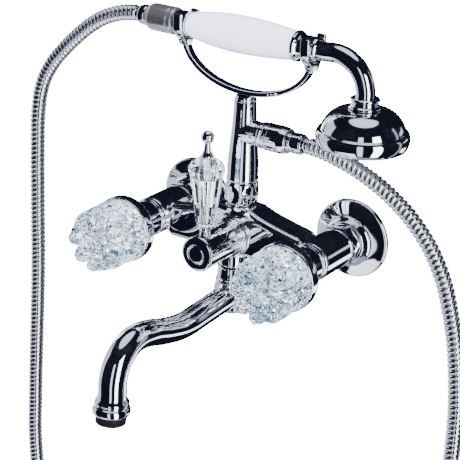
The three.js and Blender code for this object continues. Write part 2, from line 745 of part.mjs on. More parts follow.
function spoutSeal() {
  const low = SOCKET_TOP + SPIGOT_LENGTH;
  return sleeve(NECK_BORE, SPIGOT_RADIUS - GAP, low - SPOUT_SEAL_THICK, low, SMALL_SIDES);
}

function spoutSocket() {
  const bottom = SOCKET_TOP - SOCKET_LENGTH;
  const spigotTop = SOCKET_TOP + SPIGOT_LENGTH - SPOUT_SEAL_THICK - GAP;
  const shell = joined(
    turned([
      [0, bottom],
      [SOCKET_RADIUS - 5, bottom],
      [SOCKET_RADIUS - 1.4, bottom + 1.6],
      [SOCKET_RADIUS, bottom + 5],
      [SOCKET_RADIUS, SOCKET_TOP - 6],
      [SOCKET_RADIUS - 1.5, SOCKET_TOP - 2],
      [SWIVEL_NUT_RADIUS, SOCKET_TOP],
      [SPIGOT_RADIUS, SOCKET_TOP],
      [SPIGOT_RADIUS, spigotTop],
      [0, spigotTop],
    ]),
  );
  const waterway = rod(NECK_BORE, TUBE_LEVEL, spigotTop + OVERRUN, SMALL_SIDES);
  const tubeRoom = alongOut(rod(SPOUT_TUBE_RADIUS + GAP, 0, SOCKET_RADIUS + OVERRUN));
  return withCuts(shell, waterway, tubeRoom.translate(0, 0, TUBE_LEVEL));
}

// The outlet's own frame: origin on the tube's lower end, +Z back up the tube.
function outletFrame(geometry) {
  const tilt = THREE.MathUtils.degToRad(SPOUT_TILT);
  return geometry.rotateX(-tilt).translate(0, -SPOUT_LENGTH, TUBE_LEVEL - TUBE_BELOW);
}

function spoutTube() {
  const lean = Math.tan(THREE.MathUtils.degToRad(SPOUT_TILT));
  const end = [-SPOUT_LENGTH, TUBE_LEVEL - TUBE_BELOW];
  const path = curveThrough([
    [0, -2, TUBE_LEVEL],
    [0, -14, TUBE_LEVEL],
    [0, -0.28 * SPOUT_LENGTH, TUBE_LEVEL - 1.6],
    [0, -0.44 * SPOUT_LENGTH, TUBE_LEVEL - 2.6],
    [0, -0.6 * SPOUT_LENGTH, TUBE_LEVEL + 2],
    [0, -0.74 * SPOUT_LENGTH, TUBE_LEVEL + 8],
    [0, -0.85 * SPOUT_LENGTH, TUBE_LEVEL + 8.6],
    [0, -0.94 * SPOUT_LENGTH, TUBE_LEVEL + 1],
    [0, end[0] + 20 * lean, end[1] + 20],
    [0, end[0] + 6 * lean, end[1] + 6],
    [0, ...end],
  ]);
  return tubeAlong(path, SPOUT_TUBE_RADIUS, SPOUT_TUBE_RADIUS - SPOUT_WALL, 6, 18);
}

function endCollar() {
  const bore = SPOUT_TUBE_RADIUS + GAP;
  const low = END_COLLAR_GRIP - END_COLLAR_LENGTH;
  const mouth = AERATOR_RADIUS - 2 * CHAMFER;
  const bead = 1.5 * CHAMFER;
  return outletFrame(
    turned([
      [mouth, low],
      [END_COLLAR_RADIUS - bead, low],
      [END_COLLAR_RADIUS, low + 2 * CHAMFER],
      [END_COLLAR_RADIUS, -GAP],
      [END_COLLAR_RADIUS - bead, bead],
      [SPOUT_TUBE_RADIUS + bead, END_COLLAR_GRIP],
      [bore, END_COLLAR_GRIP],
      [bore, -GAP],
      [mouth, -GAP],
      [mouth, low],
    ]),
  );
}

const AERATOR_TOP = END_COLLAR_GRIP - END_COLLAR_LENGTH - GAP;

function aeratorBody() {
  const low = AERATOR_TOP - AERATOR_LENGTH;
  return outletFrame(sleeve(AERATOR_RADIUS - AERATOR_WALL, AERATOR_RADIUS, low, AERATOR_TOP));
}

function aeratorInsert() {
  const low = AERATOR_TOP - AERATOR_LENGTH + 1.5 * CHAMFER;
  const outer = AERATOR_RADIUS - AERATOR_WALL - GAP;
  return outletFrame(sleeve(AERATOR_WALL, outer, low, AERATOR_TOP, SMALL_SIDES));
}

// ---- Hand shower. Local +Z runs along the grip to the right; the origin is above the riser. ----------

const REAR_END = GRIP_LEFT - GAP - REAR_COLLAR_LENGTH;
const FRONT_END = GRIP_RIGHT + GAP + FRONT_COLLAR_LENGTH;

function grip() {
  const shares = [0, 0.15, 0.4, 0.65, 0.88, 1];
  const length = GRIP_RIGHT - GRIP_LEFT;
  const spindleRadius = (share) => {
    const ends = GRIP_LEFT_RADIUS + (GRIP_RIGHT_RADIUS - GRIP_LEFT_RADIUS) * share;
    return ends + (GRIP_MIDDLE_RADIUS - ends) * Math.sin(Math.PI * share) ** 0.8;
  };
  const outside = shares.map((share) => [spindleRadius(share), GRIP_LEFT + length * share]);
  return alongRight(
    turned([
      [GRIP_BORE + GAP, GRIP_LEFT],
      ...outside,
      [GRIP_BORE + GAP, GRIP_RIGHT],
      [GRIP_BORE + GAP, GRIP_LEFT],
    ]),
  );
}

function innerTube() {
  const low = REAR_END + 4;
  const high = FRONT_END - 8;
  return alongRight(sleeve(GRIP_BORE - 1.5, GRIP_BORE, low, high, SMALL_SIDES));
}

function rearCollar() {
  const bore = GRIP_BORE + GAP;
  const shoulder = -CRADLE_HALF_SPAN + FORK_WIDTH / 2 + GAP;
  return alongRight(
    turned([
      [bore, REAR_END],
      [COLLAR_RADIUS, REAR_END],
      [COLLAR_RADIUS, shoulder],
      [COLLAR_RADIUS + CHAMFER, shoulder],
      [COLLAR_RADIUS + CHAMFER, GRIP_LEFT - GAP],
      [bore, GRIP_LEFT - GAP],
      [bore, REAR_END],
    ]),
  );
}

function frontCollar() {
  const bore = GRIP_BORE + GAP;
  const low = GRIP_RIGHT + GAP;
  return alongRight(
    turned([
      [bore, low],
      [GRIP_RIGHT_RADIUS + CHAMFER, low],
      [GRIP_RIGHT_RADIUS + CHAMFER, low + 3 * CHAMFER],
      [COLLAR_RADIUS, low + 4.5 * CHAMFER],
      [COLLAR_RADIUS, FRONT_END - CHAMFER],
      [COLLAR_RADIUS - CHAMFER, FRONT_END],
      [bore, FRONT_END],
      [bore, low],
    ]),
  );
}

const HEAD_TOP = HEAD_RIM_BOTTOM + HEAD_HEIGHT - HANDSET_HEIGHT;
const NECK_END = HEAD_TOP + HEAD_COLLAR_LENGTH + GAP;

function handsetNeck() {
  const start = FRONT_END + GAP;
  const path = curveThrough([
    [start, 0, 0],
    [start + 3, 0, 0],
    [HEAD_OUT - 23, 0, 0.2],
    [HEAD_OUT - 13, 0, -3.5],
    [HEAD_OUT - 4.5, 0, -11.5],
    [HEAD_OUT, 0, NECK_END + 5],
    [HEAD_OUT, 0, NECK_END],
  ]);
  return tubeAlong(path, GOOSE_RADIUS, GOOSE_RADIUS - GOOSE_WALL, 6, 10);
}

function headCollar() {
  const low = HEAD_TOP + GAP;
  const high = low + HEAD_COLLAR_LENGTH - GAP;
  const bore = GOOSE_RADIUS - GOOSE_WALL;
  return turned([
    [bore, low],
    [HEAD_COLLAR_RADIUS, low],
    [HEAD_COLLAR_RADIUS, low + CHAMFER],
    [HEAD_COLLAR_RADIUS - 2, low + 3 * CHAMFER],
    [HEAD_COLLAR_RADIUS - 2, high - 3 * CHAMFER],
    [HEAD_COLLAR_RADIUS - 1, high - 2 * CHAMFER],
    [HEAD_COLLAR_RADIUS - 1, high - CHAMFER],
    [HEAD_COLLAR_RADIUS - 2, high],
    [bore, high],
    [bore, low],
  ]).translate(HEAD_OUT, 0, 0);
}

const PLATE_LEVEL = HEAD_RIM_BOTTOM - HANDSET_HEIGHT + SPRAY_PLATE_SET_IN;
const PLATE_ROOM = HEAD_RADIUS - HEAD_RIM_WALL;

function headBell() {
  const low = HEAD_RIM_BOTTOM - HANDSET_HEIGHT;
  const rimTop = low + HEAD_RIM_HEIGHT;
  const swell = 0.35 * HEAD_RIM_HEIGHT;
  const domeRadius = HEAD_RADIUS - HEAD_RIM_BEAD;
  const neck = HEAD_COLLAR_RADIUS - 2;
  const shares = [0.25, 0.5, 0.75, 1];
  const bell = (radius, level, rise, foot) =>
    shares.map((share) => [
      foot + (radius - foot) * Math.cos((share * Math.PI) / 2) ** 0.7,
      level + rise * Math.sin((share * Math.PI) / 2) ** 1.6,
    ]);
  const outside = bell(domeRadius, rimTop, HEAD_TOP - rimTop, neck);
  const ceiling = HEAD_TOP - HEAD_WALL - rimTop;
  const bore = GOOSE_RADIUS - GOOSE_WALL;
  const inside = bell(PLATE_ROOM - CHAMFER / 2, rimTop - CHAMFER, ceiling + CHAMFER, bore).reverse();
  return turned([
    [PLATE_ROOM, low],
    [HEAD_RADIUS - 2 * CHAMFER, low],
    [HEAD_RADIUS, low + swell],
    [HEAD_RADIUS, rimTop - swell],
    [domeRadius, rimTop],
    ...outside,
    [bore, HEAD_TOP],
    ...inside,
    [PLATE_ROOM, rimTop - CHAMFER],
    [PLATE_ROOM, low],
  ]).translate(HEAD_OUT, 0, 0);
}

function sprayPlate() {
  const radius = PLATE_ROOM - GAP;
  const plate = joined(rod(radius, PLATE_LEVEL, PLATE_LEVEL + SPRAY_PLATE_THICK));
  const holes = [0.35, 0.7].flatMap((share, ring) => {
    const count = 6 * (ring + 1);
    return Array.from({ length: count }, (_, i) => {
      const angle = (2 * Math.PI * i) / count;
      const top = PLATE_LEVEL + SPRAY_PLATE_THICK + OVERRUN;
      const hole = rod(SPRAY_HOLE, PLATE_LEVEL - OVERRUN, top, 6);
      return hole.translate(share * radius * Math.cos(angle), share * radius * Math.sin(angle), 0);
    });
  });
  return withCuts(plate, ...holes).translate(HEAD_OUT, 0, 0);
}

// ---- Hose fittings. Each is along +X from the face that meets its thread. ----------------------------

function hoseNut(length) {
  const bore = HOSE_TAIL_RADIUS + GAP;
  return alongRight(
    turned(
      [
        [bore, 0],
        [HOSE_NUT_RADIUS - CHAMFER, 0],
        [HOSE_NUT_RADIUS, 1.5],
        [HOSE_NUT_RADIUS, length - 5],
        [HOSE_TAIL_RADIUS + 1.5, length],
        [bore, length],
        [bore, 0],
      ],
      SMALL_SIDES,
    ),
  );
}

function hoseWasher() {
  return alongRight(sleeve(HOSE_BORE, OUTLET_RADIUS - 2, 0, WASHER_THICK, SMALL_SIDES));
}

// The ferrule starts inside the nut, against the washer, and grips the end of the hose.
function hoseFerrule(inside, outside) {
  return alongRight(
    turned(
      [
        [HOSE_BORE, 0],
        [HOSE_TAIL_RADIUS, 0],
        [HOSE_TAIL_RADIUS, inside + outside - CHAMFER],
        [HOSE_TAIL_RADIUS - CHAMFER, inside + outside],
        [HOSE_BORE, inside + outside],
        [HOSE_BORE, 0],
      ],
      SMALL_SIDES,
    ),
  );
}

// Centre line of the hose, from the handset's ferrule down and round to the riser's outlet. Its
// middle number is measured from the riser's axis.
const HANDSET_FERRULE_END = REAR_END - GAP - HANDSET_NUT_LENGTH - HOSE_TAIL_LENGTH;
const OUTLET_FERRULE_END = OUTLET_REACH + GAP + OUTLET_NUT_LENGTH + OUTLET_TAIL_LENGTH;
const HOSE_POINTS = [
  [HANDSET_FERRULE_END - GAP, 0, HANDSET_HEIGHT],
  [HANDSET_FERRULE_END - 7, 0, HANDSET_HEIGHT],
  [-131, 0, 152.5],
  [-148, 0, 143.5],
  [-164, 0, 131],
  [-180, 0, 116],
  [-194, 0, 100],
  [-204, 0, 82],
  [-209, 0, 60],
  [-211, 0, 25],
  [-211, -1, -25],
  [-211, -2, -90],
  [-212, -4, -150],
  [-213, -6, -210],
  [-212, -8, -265],
  [-203, -9, -320],
  [-178, -10, -368],
  [-138, -10, -404],
  [-86, -10, -427],
  [-28, -10, -436],
  [32, -9, -427],
  [85, -8, -402],
  [129, -6, -362],
  [161, -4, -310],
  [182, -2, -250],
  [194, -1, -185],
  [198, 0, -120],
  [195, 0, -65],
  [186, 0, -18],
  [172, 0, 18],
  [153, 0, 43],
  [130, 0, 61],
  [106, 0, 73],
  [82, 0, 80.5],
  [OUTLET_FERRULE_END + 7, 0, OUTLET_HEIGHT],
  [OUTLET_FERRULE_END + GAP, 0, OUTLET_HEIGHT],
];

function showerHose() {
  return tubeAlong(curveThrough(HOSE_POINTS), HOSE_DIAMETER / 2, 0, HOSE_SIDES / 2, HOSE_STEPS);
}

// ---- Assembly ------------------------------------------------------------------------------------

const faucet = new THREE.Group();
add(faucet, "mixer_body", mixerBody(), chrome);

// The barrel axes run out of the wall: in these groups +Z is out of the wall and +Y is up.
function outwardGroup(x) {
  const group = new THREE.Group();
  group.position.x = x;
  group.rotation.x = Math.PI / 2;
  faucet.add(group);
  return group;
}

for (const [hand, tap, side] of [["left", "hot", -1], ["right", "cold", 1]]) {
  const inlet = outwardGroup((side * INLET_PITCH) / 2);
  add(inlet, `${hand}_wall_union`, wallUnion(), brass);
  add(inlet, `${hand}_union_nut`, unionNut(), chrome);
  add(inlet, `${hand}_union_washer`, unionWasher(), rubber);
  add(inlet, `${hand}_wall_flange`, wallFlange(), chrome);
  add(inlet, `${tap}_valve_seal`, valveSeal(), rubber);
  add(inlet, `${tap}_seat_disc`, seatDisc(), ceramic);
  add(inlet, `${tap}_turning_disc`, turningDisc(), ceramic);
  add(inlet, `${tap}_valve_bonnet`, valveBonnet(), chrome);
  add(inlet, `${tap}_spindle`, spindle(), brass);
  add(inlet, `${tap}_handle_skirt`, handleSkirt(), chrome);
  add(inlet, `${tap}_glass_knob`, glassKnob(), glass);
  add(inlet, `${tap}_knob_insert`, knobInsert(), brass);
}

const diverter = outwardGroup(0);
add(diverter, "diverter_bonnet", diverterBonnet(), chrome);
add(diverter, "diverter_sleeve", diverterSleeve(), chrome);
add(diverter, "diverter_spool", diverterSpool(), brass);

const lever = new THREE.Group();
lever.position.y = -LEVER_OUT;
faucet.add(lever);
add(lever, "lever_neck", leverNeck(), chrome);
add(lever, "lever_glass", leverGlass(), glass);
add(lever, "lever_rod", leverRod(), chrome);
add(lever, "lever_finial", leverFinial(), chrome);

const riser = new THREE.Group();
riser.position.y = -BODY_DEPTH;
faucet.add(riser);
add(riser, "riser_union_nut", riserNut(), chrome);
add(riser, "riser_column", riserColumn(), chrome);
add(riser, "cradle_stem", cradleStem(), chrome);
add(riser, "cradle_bow", cradleBow(), chrome);
for (const [hand, side] of [["left", -1], ["right", 1]]) {
  const fork = add(riser, `cradle_${hand}_fork`, cradleFork(), chrome);
  fork.position.set(side * CRADLE_HALF_SPAN, 0, HANDSET_HEIGHT);
}

const spout = new THREE.Group();
spout.position.y = -SWIVEL_OUT;
faucet.add(spout);
add(spout, "spout_swivel_nut", swivelNut(), chrome);
add(spout, "spout_seal", spoutSeal(), rubber);
add(spout, "spout_socket", spoutSocket(), chrome);
add(spout, "spout_tube", spoutTube(), chrome);
add(spout, "spout_end_collar", endCollar(), chrome);
add(spout, "aerator_body", aeratorBody(), rubber);
add(spout, "aerator_insert", aeratorInsert(), rubber);

const handset = new THREE.Group();
handset.position.set(0, -BODY_DEPTH, HANDSET_HEIGHT);
faucet.add(handset);
add(handset, "handset_grip", grip(), porcelain);
add(handset, "handset_inner_tube", innerTube(), brass);
add(handset, "handset_rear_collar", rearCollar(), chrome);
add(handset, "handset_front_collar", frontCollar(), chrome);
add(handset, "handset_neck", handsetNeck(), chrome);
add(handset, "head_collar", headCollar(), chrome);
add(handset, "head_bell", headBell(), chrome);
add(handset, "spray_plate", sprayPlate(), satinChrome);

// Each hose end: a nut, the washer and ferrule inside it. `turn` points the fittings left or right.
function hoseEnd(prefix, x, height, nutLength, tailLength, turn) {
  const end = new THREE.Group();
  end.position.set(x, -BODY_DEPTH, height);
  end.rotation.y = turn;
  faucet.add(end);
  const nose = nutLength / 2 + GAP;
  add(end, `${prefix}_hose_nut`, hoseNut(nutLength), satinChrome);
  const washer = add(end, `${prefix}_hose_washer`, hoseWasher(), rubber);
  washer.position.x = nose;
  const inside = nutLength - nose - WASHER_THICK - GAP;
  const ferrule = add(end, `${prefix}_hose_ferrule`, hoseFerrule(inside, tailLength), chrome);
  ferrule.position.x = nose + WASHER_THICK + GAP;
}

hoseEnd("handset", REAR_END - GAP, HANDSET_HEIGHT, HANDSET_NUT_LENGTH, HOSE_TAIL_LENGTH, Math.PI);
hoseEnd("outlet", OUTLET_REACH + GAP, OUTLET_HEIGHT, OUTLET_NUT_LENGTH, OUTLET_TAIL_LENGTH, 0);
add(riser, "shower_hose", showerHose(), hoseSteel);

export default faucet;
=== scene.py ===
# Wall mounted bath and shower mixer of the classical pattern: chrome-plated brass, two crushed-ice
# glass valve knobs, a fluted glass diverter lever, a swan-neck spout, and a hand shower with a
# porcelain grip that rests in a cradle on the riser. Lengths in the sections are millimetres
# unless a name ends in _M. +X is right, -Y is out of the wall, +Z is up.
import math

import bpy
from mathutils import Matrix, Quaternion, Vector


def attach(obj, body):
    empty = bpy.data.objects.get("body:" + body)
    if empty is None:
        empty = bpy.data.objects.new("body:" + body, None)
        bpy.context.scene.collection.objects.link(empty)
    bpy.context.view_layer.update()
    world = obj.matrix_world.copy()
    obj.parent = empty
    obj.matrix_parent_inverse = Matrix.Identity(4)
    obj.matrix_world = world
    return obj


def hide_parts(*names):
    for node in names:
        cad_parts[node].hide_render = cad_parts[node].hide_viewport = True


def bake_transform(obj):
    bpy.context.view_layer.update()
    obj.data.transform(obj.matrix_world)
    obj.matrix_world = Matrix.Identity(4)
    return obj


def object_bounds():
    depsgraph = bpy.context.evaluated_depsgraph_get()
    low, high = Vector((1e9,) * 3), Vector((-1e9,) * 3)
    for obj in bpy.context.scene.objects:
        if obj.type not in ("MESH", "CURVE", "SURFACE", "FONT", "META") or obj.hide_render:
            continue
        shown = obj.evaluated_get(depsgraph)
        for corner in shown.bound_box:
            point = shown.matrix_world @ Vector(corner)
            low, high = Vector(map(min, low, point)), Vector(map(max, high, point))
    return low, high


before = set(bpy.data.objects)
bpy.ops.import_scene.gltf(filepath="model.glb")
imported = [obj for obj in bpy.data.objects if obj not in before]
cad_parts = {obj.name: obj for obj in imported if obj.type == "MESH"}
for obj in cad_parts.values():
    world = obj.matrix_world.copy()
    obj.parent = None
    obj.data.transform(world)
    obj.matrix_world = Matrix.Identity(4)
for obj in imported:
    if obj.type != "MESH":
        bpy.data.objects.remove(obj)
cad_low, cad_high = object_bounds()

# ---- Camera --------------------------------------------------------------------------------------
# A long lens a little over a metre away, looking down from the right front, as a catalogue
# picture of a mixer is taken. The camera is rolled two degrees.

CAMERA_AZIMUTH = math.radians(33.8)
CAMERA_ELEVATION = math.radians(22.0)
CAMERA_ROLL = math.radians(2.1)
CAMERA_DISTANCE_M = 1.1356
CAMERA_TARGET_M = Vector((-0.0017, -0.060, 0.005))
CAMERA_LENS = 113.8  # on a 36 mm sensor

toward_camera = Vector((
    math.sin(CAMERA_AZIMUTH) * math.cos(CAMERA_ELEVATION),
    -math.cos(CAMERA_AZIMUTH) * math.cos(CAMERA_ELEVATION),
    math.sin(CAMERA_ELEVATION),
))
bpy.ops.object.camera_add(location=CAMERA_TARGET_M + toward_camera * CAMERA_DISTANCE_M)
camera = bpy.context.object
camera.rotation_mode = "QUATERNION"
camera.rotation_quaternion = (
    (-toward_camera).to_track_quat("-Z", "Y") @ Quaternion((0, 0, 1), CAMERA_ROLL)
)
camera.data.lens = CAMERA_LENS
camera.data.sensor_width = 36
camera.data.clip_start = 0.05
camera.data.clip_end = 50
bpy.context.scene.camera = camera

# ---- Mixer body ----------------------------------------------------------------------------------
# One hollow brass casting: a bar with sloping shoulders, a valve barrel at each inlet, a boss for
# the diverter and a neck for the spout. It is sand cast, ground, buffed and chrome plated, so
# every inside corner is a soft fillet.

MM = 0.001
UP = (Vector((0, 0, 1)), Vector((1, 0, 0)))  # an axis, and the side that a profile is drawn on
OUT = (Vector((0, -1, 0)), Vector((1, 0, 0)))
RIGHT = (Vector((1, 0, 0)), Vector((0, 0, 1)))

INLET_X = 75
BODY_Y = -48
BODY_THICK = 27
BODY_HALF_WIDTH = 63
BODY_BOTTOM = -15
BODY_END_TOP = 12.8
SHOULDER_PULL = (21, 20.5)
SHOULDER_TOP = (15.6, 25)
BODY_EDGE = 9
RISER_SEAT_RADIUS = 13.5
RISER_SEAT_TOP = 25
BARREL_RADIUS = 15.5
BARREL_BACK = 27
BARREL_FRONT = 66
BOSS_RADIUS = 14.6
BOSS_BACK = 40
BOSS_FRONT = 62
NECK_Y = -57
NECK_RADIUS = 11.5
NECK_BOTTOM = -24
CAST_VOXEL = 0.85
CAST_SOFTNESS = 24


def wired(tree, kind, inputs, **settings):
    """A shader node with its settings, its values, and its links from other nodes' sockets."""
    node = tree.nodes.new(kind)
    for key, value in settings.items():
        setattr(node, key, value)
    for name, value in inputs.items():
        if isinstance(value, bpy.types.NodeSocket):
            tree.links.new(value, node.inputs[name])
        else:
            node.inputs[name].default_value = value
    return node


def effect_group(name, inputs, outputs):
    """An empty shader group with those named float inputs, and outputs as name and kind."""
    group = bpy.data.node_groups.new(name, "ShaderNodeTree")
    for label, value in inputs:
        made = group.interface.new_socket(label, in_out="INPUT", socket_type="NodeSocketFloat")
        made.default_value = value
    for label, kind in outputs:
        group.interface.new_socket(label, in_out="OUTPUT", socket_type=kind)
    return group, group.nodes.new("NodeGroupInput"), group.nodes.new("NodeGroupOutput")


def new_material(name, color, metallic, roughness):
    material = bpy.data.materials.new(name)
    material.use_nodes = True
    shader = material.node_tree.nodes["Principled BSDF"]
    shader.inputs["Base Color"].default_value = (*color, 1)
    shader.inputs["Metallic"].default_value = metallic
    shader.inputs["Roughness"].default_value = roughness
    return material, material.node_tree, shader


def use_effect(tree, group, values):
    node = tree.nodes.new("ShaderNodeGroup")
    node.node_tree = group
    for name, value in values.items():
        node.inputs[name].default_value = value
    return node


# Plated and glazed surfaces: water spots and wiping marks that dull the gloss a little, and the
# slow waviness that hand buffing leaves.
gloss, gloss_in, gloss_out = effect_group(
    "gloss_with_marks",
    [("Clean", 0.03), ("Marked", 0.10), ("Waviness", 0.05), ("Spot Density", 1.0)],
    [("Roughness", "NodeSocketFloat"), ("Normal", "NodeSocketVector"),
     ("Marks", "NodeSocketFloat")],
)
place = gloss.nodes.new("ShaderNodeTexCoord")
wiping = wired(gloss, "ShaderNodeTexNoise",
               {"Vector": place.outputs["Object"], "Scale": 45.0, "Detail": 5.0, "Distortion": 0.8})
spots = wired(gloss, "ShaderNodeTexVoronoi",
              {"Vector": place.outputs["Object"], "Scale": 210.0, "Randomness": 1.0})
spot_edge = wired(gloss, "ShaderNodeMapRange",
                  {"Value": spots.outputs["Distance"], "From Min": 0.10, "From Max": 0.16,
                   "To Min": 1.0, "To Max": 0.0})
wiped = wired(gloss, "ShaderNodeMapRange",
              {"Value": wiping.outputs["Fac"], "From Min": 0.48, "From Max": 0.72})
spotted = wired(gloss, "ShaderNodeMath",
                {0: spot_edge.outputs["Result"], 1: gloss_in.outputs["Spot Density"]},
                operation="MULTIPLY")
sparse = wired(gloss, "ShaderNodeMath",
               {0: spotted.outputs["Value"], 1: wiped.outputs["Result"]}, operation="MULTIPLY")
marks = wired(gloss, "ShaderNodeMath",
              {0: sparse.outputs["Value"], 1: wiped.outputs["Result"]}, operation="MAXIMUM")
dulled = wired(gloss, "ShaderNodeMapRange",
               {"Value": marks.outputs["Value"], "To Min": gloss_in.outputs["Clean"],
                "To Max": gloss_in.outputs["Marked"]})
swell = wired(gloss, "ShaderNodeTexNoise",
              {"Vector": place.outputs["Object"], "Scale": 60.0, "Detail": 1.0})
buffed = wired(gloss, "ShaderNodeBump",
               {"Height": swell.outputs["Fac"], "Strength": gloss_in.outputs["Waviness"],
                "Distance": 0.002})
gloss.links.new(dulled.outputs["Result"], gloss_out.inputs["Roughness"])
gloss.links.new(buffed.outputs["Normal"], gloss_out.inputs["Normal"])
gloss.links.new(marks.outputs["Value"], gloss_out.inputs["Marks"])


def glossy_material(name, color, metallic, clean, marked, waviness, spot_density=1.0):
    material, tree, shader = new_material(name, color, metallic, clean)
    effect = use_effect(tree, gloss, {"Clean": clean, "Marked": marked, "Waviness": waviness,
                                      "Spot Density": spot_density})
    tree.links.new(effect.outputs["Roughness"], shader.inputs["Roughness"])
    tree.links.new(effect.outputs["Normal"], shader.inputs["Normal"])
    return material, tree, shader, effect


chrome = glossy_material("chrome_plate", (0.86, 0.875, 0.91), 1.0, 0.025, 0.085, 0.03)[0]
cast_chrome = glossy_material("chrome_on_casting", (0.85, 0.87, 0.91), 1.0, 0.03, 0.10, 0.05)[0]


def eased(corners, segments=4):
    """A profile in which each corner that has a third number, its radius, is rounded."""
    points = []
    for i, corner in enumerate(corners):
        here = Vector(corner[:2])
        if len(corner) < 3 or i in (0, len(corners) - 1):
            points.append(here)
            continue
        back = Vector(corners[i - 1][:2]) - here
        ahead = Vector(corners[i + 1][:2]) - here
        cut = min(corner[2], 0.48 * back.length, 0.48 * ahead.length)
        start = here + back.normalized() * cut
        end = here + ahead.normalized() * cut
        for step in range(segments + 1):
            t = step / segments
            points.append(start * (1 - t) ** 2 + here * 2 * t * (1 - t) + end * t ** 2)
    return points


def drawn(name, points):
    """A line of edges through points in millimetres, left open in edit mode."""
    places = [Vector(point) * MM for point in points]
    bpy.ops.object.select_all(action="DESELECT")
    bpy.ops.mesh.primitive_plane_add(size=MM, location=places[0])
    piece = bpy.context.object
    piece.name = name
    bpy.ops.object.mode_set(mode="EDIT")
    bpy.ops.mesh.select_mode(type="VERT")
    bpy.ops.mesh.merge(type="CENTER")
    for here, there in zip(places, places[1:]):
        bpy.ops.mesh.extrude_vertices_move(TRANSFORM_OT_translate={"value": there - here})
    bpy.ops.mesh.select_all(action="SELECT")
    return piece


def put_down(piece):
    """Leaves edit mode with the faces out and the object at the origin."""
    bpy.ops.mesh.select_all(action="SELECT")
    bpy.ops.mesh.remove_doubles(threshold=0.002 * MM)
    bpy.ops.mesh.normals_make_consistent(inside=False)
    bpy.ops.object.mode_set(mode="OBJECT")
    bpy.ops.object.transform_apply(location=True, rotation=True, scale=True)
    return piece


def turned(name, profile, at=(0, 0, 0), along=UP, steps=64):
    """A turned piece. Its profile holds a radius and a distance along the axis at each point."""
    axis, side = along
    piece = drawn(name, [Vector(at) + side * p[0] + axis * p[1] for p in eased(profile)])
    bpy.ops.mesh.spin(steps=steps, angle=2 * math.pi, center=Vector(at) * MM, axis=axis)
    return put_down(piece)


def plate(name, outline, at, depth, across):
    """A flat piece cut to an outline of points in space, and given its depth along across."""
    piece = drawn(name, [Vector(at) + Vector(point) for point in outline])
    bpy.ops.mesh.remove_doubles(threshold=0.002 * MM)
    bpy.ops.mesh.select_all(action="SELECT")
    bpy.ops.mesh.edge_face_add()
    bpy.ops.mesh.extrude_region_move(TRANSFORM_OT_translate={"value": Vector(across) * depth * MM})
    return put_down(piece)


def only(piece):
    bpy.ops.object.select_all(action="DESELECT")
    piece.select_set(True)
    bpy.context.view_layer.objects.active = piece
    return piece


def with_modifier(piece, kind, **settings):
    """Adds one modifier and applies it."""
    only(piece)
    modifier = piece.modifiers.new(kind.lower(), kind)
    for key, value in settings.items():
        setattr(modifier, key, value)
    bpy.ops.object.modifier_apply(modifier=modifier.name)
    return piece


def bevelled(piece, width, segments=2, angle=35):
    return with_modifier(piece, "BEVEL", width=width * MM, segments=segments,
                         limit_method="ANGLE", angle_limit=math.radians(angle))


def merged(name, pieces):
    only(pieces[0])
    for piece in pieces[1:]:
        piece.select_set(True)
    bpy.ops.object.join()
    pieces[0].name = name
    return pieces[0]


def finished(piece, material, body, slot, *nodes, angle=32):
    """Smooths the piece, gives it its material, and puts it on its body in the CAD nodes' place."""
    only(piece)
    bpy.ops.object.shade_smooth_by_angle(angle=math.radians(angle))
    piece.data.materials.clear()
    piece.data.materials.append(material)
    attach(piece, body)
    if nodes:
        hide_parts(*nodes)
    return piece


def bezier(start, pull, end, count):
    """Points on a quadratic curve, without its start."""
    a, b, c = Vector(start), Vector(pull), Vector(end)
    steps = [(i + 1) / count for i in range(count)]
    return [a * (1 - t) ** 2 + b * 2 * t * (1 - t) + c * t ** 2 for t in steps]


body_corner = (BODY_HALF_WIDTH, BODY_END_TOP)
shoulder = bezier(body_corner, SHOULDER_PULL, SHOULDER_TOP, 10)
half_outline = [(BODY_HALF_WIDTH, BODY_BOTTOM), body_corner] + [tuple(point) for point in shoulder]
body_outline = half_outline + [(-x, z) for x, z in reversed(half_outline)]
body_bar = plate(
    "body_bar",
    [(x, 0, z) for x, z in body_outline],
    (0, BODY_Y + BODY_THICK / 2, 0), BODY_THICK, (0, -1, 0),
)
bevelled(body_bar, BODY_EDGE, 6)
body_parts = [body_bar]
for side in (-1, 1):
    body_parts.append(turned(
        "barrel", [(0, BARREL_BACK), (BARREL_RADIUS, BARREL_BACK), (BARREL_RADIUS, BARREL_FRONT),
                   (0, BARREL_FRONT)], (side * INLET_X, 0, 0), OUT))
body_parts.append(turned(
    "diverter_boss", [(0, BOSS_BACK), (BOSS_RADIUS, BOSS_BACK), (BOSS_RADIUS, BOSS_FRONT),
                      (0, BOSS_FRONT)], along=OUT))
body_parts.append(turned(
    "spout_neck", [(0, NECK_BOTTOM), (NECK_RADIUS, NECK_BOTTOM), (NECK_RADIUS, 0), (0, 0)],
    (0, NECK_Y, 0)))
body_parts.append(turned(
    "riser_seat", [(0, 0), (RISER_SEAT_RADIUS, 0), (RISER_SEAT_RADIUS, RISER_SEAT_TOP),
                   (0, RISER_SEAT_TOP)], (0, BODY_Y, 0)))
body_casting = merged("body_casting", body_parts)
with_modifier(body_casting, "REMESH", mode="VOXEL", voxel_size=CAST_VOXEL * MM)
with_modifier(body_casting, "SMOOTH", factor=0.5, iterations=CAST_SOFTNESS)
finished(body_casting, cast_chrome, "mixer", "chrome", "mixer_body", angle=60)

# ---- Wall unions ---------------------------------------------------------------------------------
# Each inlet hangs on a brass union screwed into the wall fitting. A hexagon nut draws the barrel
# up to it on a fibre washer, and a spun brass flange, chrome plated, hides the hole in the wall.

